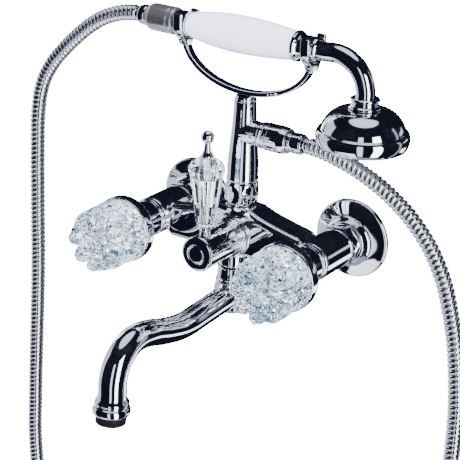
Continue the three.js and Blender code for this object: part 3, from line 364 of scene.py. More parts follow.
FLANGE_RADIUS = 32
FLANGE_RIM = 4.2
HUB_RADIUS = 18
FLANGE_DEPTH = 16
NUT_RADIUS = 17
NUT_FLAT = 14.9
NUT_BORE = 13.4
NUT_TURN = 12  # degrees
NUT_BACK = 16.7
NUT_FRONT = 26.7


def with_flats(piece, at, axis, distance, count, first=0.0):
    """Cuts flats round a turned piece, each at that distance from the axis."""
    only(piece)
    bpy.ops.object.mode_set(mode="EDIT")
    across = Vector((0, 0, 1)) if abs(axis.z) < 0.5 else Vector((0, -1, 0))
    for i in range(count):
        turn = Quaternion(axis, math.radians(first) + 2 * math.pi * i / count)
        facing = turn @ across
        bpy.ops.mesh.select_all(action="SELECT")
        bpy.ops.mesh.bisect(plane_co=(Vector(at) + facing * distance) * MM, plane_no=facing,
                            use_fill=True, clear_outer=True)
    return put_down(piece)


for hand, side in (("left", -1), ("right", 1)):
    inlet = (side * INLET_X, 0, 0)
    flange = turned(f"{hand}_flange", [
        (29.2, 0), (31.4, 0), (FLANGE_RADIUS, 0.8, 0.6), (FLANGE_RADIUS, FLANGE_RIM - 1.2, 1.2),
        (30.9, FLANGE_RIM, 0.7), (25.6, 6.1, 3), (HUB_RADIUS + 1.9, 8.6, 2.4),
        (HUB_RADIUS, 11.4, 1.6), (HUB_RADIUS, FLANGE_DEPTH - 1.6),
        (HUB_RADIUS - 0.9, FLANGE_DEPTH, 1.2), (11.4, FLANGE_DEPTH), (11.4, 14.2),
        (HUB_RADIUS - 1.6, 14.2), (HUB_RADIUS - 1.6, 10.4),
        (24.4, 4.4), (29.2, 2.6), (29.2, 0),
    ], inlet, OUT, 96)
    finished(flange, chrome, "mixer", "chrome", f"{hand}_wall_flange", angle=25)

    nut = turned(f"{hand}_union_hexagon", [
        (NUT_BORE, NUT_BACK), (NUT_FLAT - 0.2, NUT_BACK), (NUT_RADIUS - 0.3, NUT_BACK + 1.3),
        (NUT_RADIUS - 0.3, NUT_FRONT - 1.3), (NUT_FLAT - 0.2, NUT_FRONT), (NUT_BORE, NUT_FRONT),
        (NUT_BORE, NUT_BACK),
    ], inlet, OUT, 96)
    with_flats(nut, inlet, OUT[0], NUT_FLAT, 6, NUT_TURN)
    bevelled(nut, 0.3, 2, 22)
    finished(nut, chrome, "mixer", "chrome", f"{hand}_union_nut")

# ---- Valves --------------------------------------------------------------------------------------
# A quarter-turn ceramic cartridge sits in each barrel under a turned bonnet. The handle turns on
# its brass spindle: a chrome skirt, and a pressed glass knob cut like crushed ice, eight lobes
# round its rim, cemented on a nickel-plated insert.

BONNET_RADIUS = 14
BONNET_FRONT = 91.5
SKIRT_BACK = 91.8
SKIRT_FRONT = 104.3
SKIRT_RADIUS = 26.6
KNOB_BACK = 104.6
KNOB_LOBES = 8
KNOB_SIDES = 48
POCKET_RADIUS = 7.3
POCKET_DEPTH = 16.3

satin_chrome, satin_tree, satin_shader = new_material("satin_chrome", (0.60, 0.61, 0.64), 1.0, 0.3)
satin_place = satin_tree.nodes.new("ShaderNodeTexCoord")
satin_lines = wired(satin_tree, "ShaderNodeTexNoise",
                    {"Vector": satin_place.outputs["Object"], "Scale": 900.0, "Detail": 3.0})
satin_gloss = wired(satin_tree, "ShaderNodeMapRange",
                    {"Value": satin_lines.outputs["Fac"], "To Min": 0.24, "To Max": 0.34})
satin_bump = wired(satin_tree, "ShaderNodeBump",
                   {"Height": satin_lines.outputs["Fac"], "Strength": 0.03, "Distance": 0.0001})
satin_tree.links.new(satin_gloss.outputs["Result"], satin_shader.inputs["Roughness"])
satin_tree.links.new(satin_bump.outputs["Normal"], satin_shader.inputs["Normal"])

GLASS_COLOR = (0.95, 0.985, 1.0)

crystal, _, crystal_shader, _ = glossy_material(
    "pressed_crystal", GLASS_COLOR, 0.0, 0.01, 0.05, 0.15, 0.3)
crystal_shader.inputs["Transmission Weight"].default_value = 1.0
crystal_shader.inputs["IOR"].default_value = 1.5

# The knobs' glass has painted shade and painted glints in its tint: small chips, each darker
# blue-grey or whiter, and broader patches that are darker or lighter, stand in for the light and
# shade that the cut facets of crushed ice throw.
ice, ice_tree, ice_shader, _ = glossy_material(
    "crushed_ice_glass", GLASS_COLOR, 0.0, 0.02, 0.06, 0.1, 0.3)
ice_shader.inputs["Transmission Weight"].default_value = 1.0
ice_shader.inputs["IOR"].default_value = 1.4
ice_place = ice_tree.nodes.new("ShaderNodeTexCoord")
ice_broad_shade = wired(ice_tree, "ShaderNodeTexNoise",
                  {"Vector": ice_place.outputs["Object"], "Scale": 55.0, "Detail": 1.0})
ice_cells = wired(ice_tree, "ShaderNodeTexVoronoi",
                  {"Vector": ice_place.outputs["Object"], "Scale": 165.0, "Randomness": 1.0})
ice_chip_shade = wired(ice_tree, "ShaderNodeSeparateColor", {"Color": ice_cells.outputs["Color"]})
ice_share = wired(ice_tree, "ShaderNodeMath", {0: ice_chip_shade.outputs["Red"], 1: 0.6},
                  operation="MULTIPLY")
ice_sum = wired(ice_tree, "ShaderNodeMath",
                {0: ice_share.outputs["Value"], 1: ice_broad_shade.outputs["Fac"]}, operation="ADD")
# The ramp paints the chips from dark blue-grey painted shade through pale blue to white painted
# glints.
ice_painted_shade = wired(ice_tree, "ShaderNodeValToRGB", {"Fac": ice_sum.outputs["Value"]})
ice_stops = ice_painted_shade.color_ramp.elements
ice_stops[0].position = 0.52
ice_stops[0].color = (0.16, 0.25, 0.34, 1)
ice_stops[1].position = 0.86
ice_stops[1].color = (1.0, 1.0, 1.0, 1)
ice_stops.new(0.70).color = (0.60, 0.72, 0.82, 1)
ice_tree.links.new(ice_painted_shade.outputs["Color"], ice_shader.inputs["Base Color"])


def grown(name, rings, sides, at, along_y):
    """A closed shape built up ring by ring. A ring has a radius and a distance along the axis."""
    axis = Vector((0, -1, 0)) if along_y else Vector((0, 0, 1))
    spread = (lambda k: (k, 1, k)) if along_y else (lambda k: (k, k, 1))
    centre = Vector(at) * MM
    bpy.ops.object.select_all(action="DESELECT")
    bpy.ops.mesh.primitive_circle_add(
        vertices=sides, radius=rings[0][0] * MM, fill_type="NGON",
        location=centre + axis * rings[0][1] * MM, rotation=(math.pi / 2 if along_y else 0, 0, 0))
    piece = bpy.context.object
    piece.name = name
    bpy.ops.object.transform_apply(location=True, rotation=True, scale=True)
    bpy.ops.object.mode_set(mode="EDIT")
    bpy.ops.mesh.select_mode(type="FACE")
    bpy.ops.mesh.select_all(action="SELECT")
    for (radius, level), (wider, higher) in zip(rings, rings[1:]):
        bpy.ops.mesh.extrude_region_move(
            TRANSFORM_OT_translate={"value": axis * (higher - level) * MM})
        bpy.ops.transform.resize(value=spread(wider / radius), center_override=centre)
    return put_down(piece)


def drilled(piece, radius, start, length, at, along):
    """Cuts a round hole, deep from its start along the axis."""
    end = start + length
    cutter = turned("drill", [(0, start), (radius, start), (radius, end), (0, end)], at, along, 24)
    with_modifier(piece, "BOOLEAN", object=cutter, operation="DIFFERENCE", solver="EXACT")
    bpy.data.objects.remove(cutter)
    return piece


KNOB_RINGS = [
    (24.6, 0), (25.4, 0.8), (25.5, 2.2), (25.3, 6), (25.2, 10), (25.0, 14), (25.0, 18),
    (25.0, 22), (24.9, 26), (24.8, 30), (24.2, 33.6), (22.2, 36.6), (18.8, 37.9), (14.8, 37.0),
    (10.8, 35.4), (6.6, 34.4), (2.6, 34.0),
]
LOBE_START = 22.0  # from the knob's back
LOBE_CENTRE = 6  # from the knob's axis
LOBE_FADE = 12  # the lobes reach their full depth over this length both ways
LOBE_PULL = 4.4
LOBE_SINK = 0.9  # how far back a valley goes, as a share of how far in
CHIP = 0.95
CHIP_START = 3  # from the knob's back, which stays smooth


def crushed_knob(name, at, seed):
    """A lobed glass knob with its surface broken into small flat chips."""
    back = at[1] - KNOB_BACK
    piece = grown(name, KNOB_RINGS, KNOB_SIDES, (at[0], back, at[2]), True)
    for vertex in piece.data.vertices:
        x, out, z = vertex.co.x / MM - at[0], back - vertex.co.y / MM, vertex.co.z / MM
        radius = math.hypot(x, z)
        valley = 1 - abs(math.cos(KNOB_LOBES * math.atan2(z, x) / 2)) ** 0.7
        forward = min(max((out - LOBE_START) / LOBE_FADE, 0), 1)
        rise = forward * min(max((radius - LOBE_CENTRE) / LOBE_FADE, 0), 1)
        pull = 1 - LOBE_PULL * valley * rise / max(radius, 1)
        vertex.co.x = (at[0] + x * pull) * MM
        vertex.co.z = z * pull * MM
        vertex.co.y += LOBE_SINK * LOBE_PULL * valley * rise * MM
    only(piece)
    bpy.ops.object.mode_set(mode="EDIT")
    bpy.ops.mesh.select_all(action="DESELECT")
    bpy.ops.object.mode_set(mode="OBJECT")
    for vertex in piece.data.vertices:
        vertex.select = back - vertex.co.y / MM > CHIP_START
    bpy.ops.object.mode_set(mode="EDIT")
    bpy.ops.mesh.select_mode(type="VERT")
    bpy.ops.transform.vertex_random(offset=CHIP * MM, uniform=0.6, normal=0.4, seed=seed)
    bpy.ops.mesh.select_all(action="SELECT")
    bpy.ops.mesh.quads_convert_to_tris(quad_method="SHORTEST_DIAGONAL", ngon_method="BEAUTY")
    bpy.ops.object.mode_set(mode="OBJECT")
    return drilled(piece, POCKET_RADIUS, KNOB_BACK - 1, POCKET_DEPTH + 1, at, OUT)


for tap, side in (("hot", -1), ("cold", 1)):
    barrel = (side * INLET_X, 0, 0)
    bonnet = turned(f"{tap}_bonnet", [
        (4.4, 60), (9.6, 60), (9.6, 66.3), (15.2, 66.3, 0.2), (15.5, 67.2, 0.8), (15.3, 68.7, 0.6),
        (14.1, 69.4, 0.4), (BONNET_RADIUS, 70.4), (BONNET_RADIUS, BONNET_FRONT - 0.4, 0.4),
        (13.2, BONNET_FRONT), (4.4, BONNET_FRONT), (4.4, 60),
    ], barrel, OUT, 80)
    finished(bonnet, chrome, "mixer", "chrome", f"{tap}_valve_bonnet", angle=25)
    handle = f"{tap}_handle"
    skirt = turned(f"{tap}_skirt", [
        (4.4, SKIRT_BACK), (20.0, SKIRT_BACK, 1), (24.4, SKIRT_BACK + 1.0, 2.0),
        (26.2, SKIRT_BACK + 3.8, 1.5), (SKIRT_RADIUS, SKIRT_BACK + 6.5, 1.5),
        (SKIRT_RADIUS, SKIRT_FRONT - 0.6, 0.5), (25.9, SKIRT_FRONT, 0.2), (4.4, SKIRT_FRONT),
        (4.4, SKIRT_BACK),
    ], barrel, OUT, 96)
    finished(skirt, chrome, handle, "chrome", f"{tap}_handle_skirt", angle=25)
    knob = crushed_knob(f"{tap}_ice_knob", barrel, 5 + side)
    finished(knob, ice, handle, "crystal", f"{tap}_glass_knob", angle=3)

# ---- Diverter ------------------------------------------------------------------------------------
# A turning sleeve with a domed cap on the front of the body sends the water to the spout or the
# hand shower. Its lever is a fluted glass drop threaded on a rod between a chrome neck and a ball.

DIVERTER_RADIUS = 14
DIVERTER_FRONT = 108.5
LEVER_Y = -96.5
LEVER_SOCKET_RADIUS = 4.9
ROD_HOLE_RADIUS = 2.3
FLUTES = 14

bonnet = turned("diverter_stepped_ring", [
    (5.9, 56.2), (7.6, 56.2), (7.6, 62.3), (16.2, 62.3, 0.3), (16.6, 63.2, 0.8), (16.4, 65.2, 0.7),
    (14.9, 66.0, 0.5), (14.6, 66.9, 0.4), (14.9, 67.6, 0.5), (14.4, 68.3, 0.3), (5.9, 68.3),
    (5.9, 56.2),
], along=OUT, steps=80)
finished(bonnet, chrome, "mixer", "chrome", "diverter_bonnet", angle=25)

sleeve = turned("diverter_barrel", [
    (6.2, 68.6), (12.4, 68.6, 0.3), (13.1, 69.4, 0.4), (13.4, 86), (13.7, 104.4, 0.3),
    (13.4, 104.9, 0.2), (DIVERTER_RADIUS, 105.5, 0.4), (DIVERTER_RADIUS, 106.3, 0.6),
    (12.8, 107.3, 0.8), (10.4, 107.7), (8.2, 107.9), (7.6, 107.5, 0.3), (6.9, 107.7, 0.3),
    (6.3, 108.2, 0.5), (4.6, DIVERTER_FRONT, 0.6), (0, DIVERTER_FRONT), (0, 103.5), (6.2, 103.5),
    (6.2, 68.6),
], along=OUT, steps=80)
drilled(sleeve, LEVER_SOCKET_RADIUS, 0, 20, (0, LEVER_Y, 0), UP)
finished(sleeve, chrome, "diverter", "chrome", "diverter_sleeve", angle=25)

neck = turned("lever_stem", [
    (0, 5.2), (4.4, 5.2), (4.5, 13.5), (4.0, 15.2, 1.5), (3.9, 17.2, 1.5), (5.2, 20.3, 1.0),
    (6.0, 21.0, 0.3), (5.9, 21.5, 0.2), (2.4, 21.5), (2.4, 12.1), (0, 12.1),
], (0, LEVER_Y, 0), UP, 48)
finished(neck, chrome, "diverter", "chrome", "lever_neck", angle=25)


DROP_RINGS = [(6.0, 21.8), (7.2, 22.8), (12.6, 60.0), (14.4, 66.8), (12.2, 70.6), (5.4, 75.8)]
DROP_FLUTES = [0.02, 0.17, 0.17, 0.03, 0.12, 0.02]  # depth of the flutes at each ring
drop = grown("lever_drop", DROP_RINGS, 2 * FLUTES, (0, LEVER_Y, 0), False)
for vertex in drop.data.vertices:
    level = vertex.co.z / MM
    nearest = min(range(len(DROP_RINGS)), key=lambda ring: abs(DROP_RINGS[ring][1] - level))
    depth = DROP_FLUTES[nearest]
    away = vertex.co - Vector((0, LEVER_Y, 0)) * MM
    if round(math.atan2(away.y, away.x) / (math.pi / FLUTES)) % 2:
        vertex.co.x -= away.x * depth
        vertex.co.y -= away.y * depth
drilled(drop, ROD_HOLE_RADIUS, 20, 60, (0, LEVER_Y, 0), UP)
finished(drop, crystal, "diverter", "crystal", "lever_glass", angle=3)

BALL_RADIUS = 5.1
BALL_LEVEL = 91.0
ball = []
for degrees in range(-60, 91, 10):
    slope = math.radians(degrees)
    ball.append((BALL_RADIUS * math.cos(slope), BALL_LEVEL + BALL_RADIUS * math.sin(slope)))
finial = turned("lever_ball", [
    (2.4, 76.1), (4.9, 76.1), (5.0, 76.8, 0.3), (4.2, 78.0, 0.8), (2.9, 80.4, 1.5),
    (2.4, 84.0, 1.5), *ball, (0, 78.2), (2.4, 78.2), (2.4, 76.1),
], (0, LEVER_Y, 0), UP, 48)
finished(finial, chrome, "diverter", "chrome", "lever_finial", angle=25)

# ---- Riser ---------------------------------------------------------------------------------------
# A tapered brass column carries the water up from the body. A barrel-shaped nut with six oval
# flats holds it down, and a branch on its right side takes the hose.

RISER_NUT_LOW = 25.3
RISER_NUT_HIGH = 44.3
RISER_NUT_RADIUS = 14.2
RISER_NUT_SWELL = 2.3
RISER_NUT_STEPS = 12
RISER_FLAT = 12.75
OUTLET_LEVEL = 84

riser = (0, BODY_Y, 0)
nut_middle = (RISER_NUT_LOW + RISER_NUT_HIGH) / 2
nut_half = (RISER_NUT_HIGH - RISER_NUT_LOW) / 2
nut_side = []
for step in range(RISER_NUT_STEPS + 1):
    share = -1 + 2 * step / RISER_NUT_STEPS
    nut_side.append((RISER_NUT_RADIUS - RISER_NUT_SWELL * share ** 2,
                     nut_middle + share * (nut_half - 0.4)))
riser_nut = turned("riser_barrel_nut", [
    (10.6, RISER_NUT_LOW), (11.6, RISER_NUT_LOW), *nut_side, (11.6, RISER_NUT_HIGH),
    (11.9, RISER_NUT_HIGH), (10.6, RISER_NUT_HIGH), (10.6, RISER_NUT_LOW),
], riser, UP, 96)
with_flats(riser_nut, riser, UP[0], RISER_FLAT, 6)
bevelled(riser_nut, 0.25, 2, 14)
finished(riser_nut, chrome, "mixer", "chrome", "riser_union_nut", angle=20)

column = turned("riser_column_shell", [
    (0, 25.4), (10.2, 25.4), (10.2, 44.6), (12.2, 44.6, 0.3), (12.8, 45.6, 0.6), (12.6, 46.8, 0.5),
    (12.3, 47.6), (12.2, 58), (11.6, 66), (10.6, 76), (9.9, 84), (9.3, 93), (8.8, 102),
    (8.7, 106.6), (8.5, 107.5), (0, 107.5),
], riser, UP, 80)
branch = turned("outlet_branch", [
    (0, 2), (10.6, 2), (9.6, 12), (9.0, 15.5), (9.2, 16.6, 0.4), (10.4, 17.4, 0.5),
    (10.4, 19.4, 0.5), (9.6, 20), (0, 20),
], (0, BODY_Y, OUTLET_LEVEL), RIGHT, 64)
riser_column = merged("riser_casting", [column, branch])
finished(riser_column, chrome, "mixer", "chrome", "riser_column", angle=30)

# ---- Cradle --------------------------------------------------------------------------------------
# A bow of flat brass strap screwed down on a short stem, with a cast fork at each end. The hand
# shower's two collars rest in the forks.

BOW_LEVEL = 149.2
BOW_DROP = 34.5
BOW_HALF_SPAN = 57
BOW_REACH = 0.88  # the share of a half ellipse that the strap covers
STRAP_THICK = 4
STRAP_WIDTH = 8
HANDSET_LEVEL = 158.4
FORK_INNER = 9.8
FORK_OUTER = 12.8
FORK_LIP = 9.5
FORK_FOOT = 4
FORK_DROP = 16.7
FORK_WIDTH = 7

stem = turned("cradle_foot", [
    (0, 107.8), (8.2, 107.8), (8.7, 108.4, 0.4), (8.7, 109.4, 0.4), (7.9, 110.0, 0.3),
    (7.9, 111.4, 0.4), (7.2, 112.4), (0, 112.4),
], riser, UP, 64)
finished(stem, chrome, "mixer", "chrome", "cradle_stem", angle=25)


def bow_line(inset, count=40):
    """One edge of the strap, along an ellipse that is smaller by the inset."""
    points = []
    for step in range(count + 1):
        turn = (-1 + 2 * step / count) * BOW_REACH * math.pi / 2
        points.append(((BOW_HALF_SPAN - inset) * math.sin(turn), 0,
                       BOW_LEVEL - (BOW_DROP - inset) * math.cos(turn)))
    return points


bow = plate("cradle_strap",
            bow_line(-STRAP_THICK / 2) + list(reversed(bow_line(STRAP_THICK / 2))),
            (0, BODY_Y + STRAP_WIDTH / 2, 0), STRAP_WIDTH, (0, -1, 0))
bevelled(bow, 1.1, 3, 40)
finished(bow, chrome, "mixer", "chrome", "cradle_bow", angle=40)


def arc(radius, start, end, count):
    turns = [math.radians(start + (end - start) * i / count) for i in range(count + 1)]
    return [(radius * math.cos(t), radius * math.sin(t)) for t in turns]


fork_outline = [(FORK_OUTER, FORK_LIP - 1), (FORK_OUTER - 1, FORK_LIP),
                (FORK_INNER + 0.8, FORK_LIP), (FORK_INNER, FORK_LIP - 1)]
fork_outline += arc(FORK_INNER, 0, -180, 20)
fork_outline += [(-FORK_INNER, FORK_LIP - 1), (-FORK_INNER - 0.8, FORK_LIP),
                 (-FORK_OUTER + 1, FORK_LIP), (-FORK_OUTER, FORK_LIP - 1)]
fork_outline += arc(FORK_OUTER, 180, 240, 7)
fork_outline += [(-FORK_FOOT, -FORK_DROP), (FORK_FOOT, -FORK_DROP)]
fork_outline += arc(FORK_OUTER, 300, 360, 7)
for hand, side in (("left", -1), ("right", 1)):
    fork_corner = (side * BOW_HALF_SPAN - FORK_WIDTH / 2, BODY_Y, HANDSET_LEVEL)
    fork = plate(f"{hand}_fork", [(0, -a, b) for a, b in fork_outline], fork_corner, FORK_WIDTH,
                 (1, 0, 0))
    bevelled(fork, 0.9, 3, 40)
    finished(fork, chrome, "mixer", "chrome", f"cradle_{hand}_fork", angle=40)

# ---- Spout ---------------------------------------------------------------------------------------
# A bent brass tube brazed into a cast socket that swivels on the body's neck under a beaded nut.
# The tube ends in a turned collar that holds a rubber aerator.

SPOUT_TUBE_RADIUS = 10.2
SPOUT_SWELL = 0.07
SPOUT_TILT = math.radians(5)
SPOUT_REACH_Y = -208
TUBE_END_Z = -82.8
SPOUT_LINE = [
    (-59, -50.8), (-71, -50.8), (-99.3, -52.4), (-123.4, -53.4), (-147.6, -48.8), (-168.7, -42.8),
    (-185.4, -42.2), (-198.9, -49.8), (-206.3, -62.8), (-207.5, -76.8), (-208, -82.8),
]

swivel = (0, NECK_Y, 0)
nut = turned("swivel_beaded_nut", [
    (7.4, -38), (12.6, -38, 0.3), (13.4, -37, 0.8), (13.3, -35.2, 0.8), (12.3, -34.2, 0.4),
    (12.0, -33), (12.0, -25.6), (12.2, -24.9, 0.3), (11.8, -24.3), (7.4, -24.3), (7.4, -38),
], swivel, UP, 72)
finished(nut, chrome, "mixer", "chrome", "spout_swivel_nut", angle=25)

socket = turned("spout_socket_casting", [
    (0, -63.3), (8, -63.3), (11.4, -62.6, 2.5), (14.0, -60.2, 2.5), (14.7, -56.5, 2),
    (14.7, -45, 2), (13.9, -41.0, 2), (12.4, -38.9, 0.8), (12.0, -38.3, 0.3), (7, -38.3),
    (7, -24.7), (0, -24.7),
], swivel, UP, 72)
finished(socket, chrome, "spout", "chrome", "spout_socket", angle=30)


SWELL_START = 0.6


def bent_tube(name, points, radius, resolution=10, sides=24, swell=0.0):
    """A round tube along a smooth curve through points in millimetres, closed at both ends.

    From SWELL_START of its length on, it grows by the share called swell.
    """
    places = [Vector(point) * MM for point in points]
    bpy.ops.object.select_all(action="DESELECT")
    bpy.ops.curve.primitive_bezier_curve_add()
    piece = bpy.context.object
    piece.name = name
    line = piece.data.splines[0]
    line.bezier_points.add(len(places) - 2)
    for step, (knot, spot) in enumerate(zip(line.bezier_points, places)):
        knot.co = spot
        knot.handle_left_type = "AUTO"
        knot.handle_right_type = "AUTO"
        share = step / (len(places) - 1)
        knot.radius = 1 + swell * max(share - SWELL_START, 0) / (1 - SWELL_START)
    line.resolution_u = resolution
    piece.data.dimensions = "3D"
    piece.data.twist_mode = "MINIMUM"
    piece.data.bevel_depth = radius * MM
    piece.data.bevel_resolution = sides // 4
    piece.data.use_fill_caps = True
    bpy.ops.object.convert(target="MESH")
    piece = bpy.context.object
    bpy.ops.object.mode_set(mode="EDIT")
    return put_down(piece)


spout_tube = bent_tube("swan_neck_tube", [(0, y, z) for y, z in SPOUT_LINE], SPOUT_TUBE_RADIUS,
                       8, 40, SPOUT_SWELL)
finished(spout_tube, chrome, "spout", "chrome", "spout_tube", angle=40)

lean = (Vector((0, math.sin(SPOUT_TILT), math.cos(SPOUT_TILT))), Vector((1, 0, 0)))
outlet = (0, SPOUT_REACH_Y, TUBE_END_Z)
collar = turned("spout_moulded_collar", [
    (9.5, -9), (12.6, -9, 0.4), (14.0, -7.6, 1.6), (14.3, -4.8, 2.4), (13.4, -2.4, 1.0),
    (12.2, -1.7, 0.5), (12.2, -0.6, 0.4), (12.9, 0.4, 0.8), (12.7, 2.0, 0.8), (11.7, 3.1, 0.6),
    (11.2, 4), (10.3, 4),
    (10.3, -0.3), (9.5, -0.3), (9.5, -9),
], outlet, lean, 72)
finished(collar, chrome, "spout", "chrome", "spout_end_collar", angle=25)

rubber, rubber_tree, rubber_shader = new_material("black_rubber", (0.003, 0.003, 0.0035), 0.0, 0.6)
rubber_shader.inputs["Specular IOR Level"].default_value = 0.15
rubber_place = rubber_tree.nodes.new("ShaderNodeTexCoord")
rubber_grain = wired(rubber_tree, "ShaderNodeTexNoise",
                     {"Vector": rubber_place.outputs["Object"], "Scale": 1400.0, "Detail": 2.0})
rubber_gloss = wired(rubber_tree, "ShaderNodeMapRange",
                     {"Value": rubber_grain.outputs["Fac"], "To Min": 0.45, "To Max": 0.75})
rubber_bump = wired(rubber_tree, "ShaderNodeBump",
                    {"Height": rubber_grain.outputs["Fac"], "Strength": 0.3, "Distance": 0.0002})
rubber_tree.links.new(rubber_gloss.outputs["Result"], rubber_shader.inputs["Roughness"])
rubber_tree.links.new(rubber_bump.outputs["Normal"], rubber_shader.inputs["Normal"])

aerator = turned("aerator_ring", [
    (9.0, -15.8), (10.9, -15.8, 0.4), (11.4, -15.2, 0.3), (11.4, -13.2, 0.2), (11.0, -12.9),
    (11.4, -12.6, 0.2), (11.4, -9.3), (9.0, -9.3), (9.0, -15.8),
], outlet, lean, 64)
finished(aerator, rubber, "spout", "rubber", "aerator_body", angle=25)

# ---- Hand shower ---------------------------------------------------------------------------------
# A spindle-shaped porcelain grip threaded on a brass tube between two chrome collars. A goose neck
# of plated tube turns down into a spun bell, whose spray plate is screwed into its rim.

HANDSET = (0, BODY_Y, HANDSET_LEVEL)
GRIP_LEFT = -52
GRIP_RIGHT = 43
GRIP_RADIUS = 14.4
GRIP_END_RADIUS = 9.4
GRIP_END_GROWTH = 1.4  # from the left end to the right
GRIP_STEPS = 24
GOOSE_RADIUS = 7.2
HEAD_X = 103
HEAD_RADIUS = 34.8
NOZZLE_RINGS = ((0, 1), (6, 6), (12, 12), (18, 18), (24, 24))  # each ring's radius and count

PORCELAIN_COLOR = (0.62, 0.67, 0.86)

porcelain, porcelain_tree, porcelain_shader, porcelain_effect = glossy_material(
    "porcelain_glaze", PORCELAIN_COLOR, 0.0, 0.05, 0.11, 0.08, 0.4)
porcelain_shader.inputs["Coat Weight"].default_value = 0.5
porcelain_shader.inputs["Coat Roughness"].default_value = 0.02
porcelain_tone = wired(porcelain_tree, "ShaderNodeMix",
                       {"Factor": porcelain_effect.outputs["Marks"],
                        "A": (*PORCELAIN_COLOR, 1), "B": (0.67, 0.71, 0.87, 1)},
                       data_type="RGBA")
porcelain_tree.links.new(porcelain_tone.outputs[2], porcelain_shader.inputs["Base Color"])

grip_side = []
for step in range(GRIP_STEPS + 1):
    share = step / GRIP_STEPS
    ends = GRIP_END_RADIUS + GRIP_END_GROWTH * share
    radius = ends + (GRIP_RADIUS - ends) * math.sin(math.pi * share) ** 0.85
    grip_side.append((radius, GRIP_LEFT + (GRIP_RIGHT - GRIP_LEFT) * share))
grip = turned("porcelain_grip", [
    (5.8, GRIP_LEFT), (8.9, GRIP_LEFT), *grip_side[1:-1], (10.4, GRIP_RIGHT), (5.8, GRIP_RIGHT),
    (5.8, GRIP_LEFT),
], HANDSET, RIGHT, 80)
finished(grip, porcelain, "handset", "porcelain", "handset_grip", angle=40)

rear = turned("grip_rear_collar", [
    (5.8, -64.8), (8.9, -64.8, 0.3), (9.5, -64.0, 0.5), (9.5, -53.3, 0.1), (10.3, -53.2, 0.2),
    (10.5, -52.8, 0.2), (10.3, -52.3, 0.1), (5.8, -52.3), (5.8, -64.8),
], HANDSET, RIGHT, 64)
finished(rear, chrome, "handset", "chrome", "handset_rear_collar", angle=25)

front = turned("grip_front_collar", [
    (5.8, 43.3), (11.4, 43.3, 0.2), (11.8, 44.0, 0.5), (11.7, 45.8, 0.6), (10.6, 46.8, 0.5),
    (9.4, 48.0, 0.5), (9.4, 60.8, 0.2), (9.0, 62.4, 0.8), (8.0, 63.3), (5.8, 63.3), (5.8, 43.3),
], HANDSET, RIGHT, 64)
finished(front, chrome, "handset", "chrome", "handset_front_collar", angle=25)

goose_line = [(63.6, 0, 0), (68, 0, 0), (80, 0, 0.2), (90, 0, -3.5), (98.5, 0, -11.5),
              (102.6, 0, -22), (103, 0, -29)]
goose = bent_tube("goose_neck", [Vector(HANDSET) + Vector(p) for p in goose_line],
                  GOOSE_RADIUS, 10, 36)
finished(goose, chrome, "handset", "chrome", "handset_neck", angle=40)

head = (HEAD_X, BODY_Y, 0)
flare = turned("head_flared_collar", [
    (5.8, 122.8), (11.6, 122.8, 0.2), (12, 123.4, 0.4), (11.6, 124.4, 0.6), (10.1, 125.4, 1.0),
    (9.7, 127.2, 0.8), (9.9, 128.2, 0.3), (10.9, 128.9, 0.5), (10.9, 130.2, 0.5), (9.6, 131.0, 0.3),
    (7.4, 131), (7.4, 126), (5.8, 126), (5.8, 122.8),
], head, UP, 64)
finished(flare, chrome, "handset", "chrome", "head_collar", angle=25)


def bell_side(radius, low, foot, high, count=16):
    """The dome of the bell, from its rim in to its foot under the collar."""
    points = []
    for step in range(1, count + 1):
        turn = step / count * math.pi / 2
        points.append((foot + (radius - foot) * max(math.cos(turn), 0) ** 0.7,
                       low + (high - low) * math.sin(turn) ** 1.6))
    return points


bell = turned("head_spun_bell", [
    (30.8, 94), (32.2, 94, 0.3), (33.0, 94.8, 0.6), (34.0, 97.0, 1.5), (HEAD_RADIUS, 100.4, 2.0),
    (34.4, 104.2, 1.2), (33.2, 106.2, 0.7), (31.3, 106.8, 0.4),
    *bell_side(31.2, 107.4, 10.0, 122.5), (5.8, 122.5),
    *reversed(bell_side(30.3, 106, 5.8, 120.5)), (30.8, 106), (30.8, 94),
], head, UP, 112)
finished(bell, chrome, "handset", "chrome", "head_bell", angle=25)

spray = turned("spray_face", [
    (0, 95.2), (26, 95.2, 0.5), (28.5, 95.0, 0.5), (30.2, 95.0, 0.4), (30.5, 95.6, 0.2), (30.5, 98),
    (0, 98),
], head, UP, 72)
nozzles = [spray]
for ring, count in NOZZLE_RINGS:
    for i in range(count):
        angle = 2 * math.pi * i / count
        spot = (HEAD_X + ring * math.cos(angle), BODY_Y + ring * math.sin(angle), 0)
        nozzles.append(turned("nozzle", [
            (0, 95.6), (1.5, 95.6), (1.1, 94.5), (0.7, 94.3), (0.7, 95.0), (0, 95.0)], spot, UP, 8))
spray = merged("spray_face", nozzles)
finished(spray, satin_chrome, "handset", "satin_chrome", "spray_plate", angle=30)

# ---- Hose ----------------------------------------------------------------------------------------
# A flexible shower hose of stainless strip wound into a spiral whose edges interlock, over a rubber
# tube. It is 1.48 m long and 13 mm thick, and hangs in one loop from the hand shower's nut round
# to the riser's outlet.

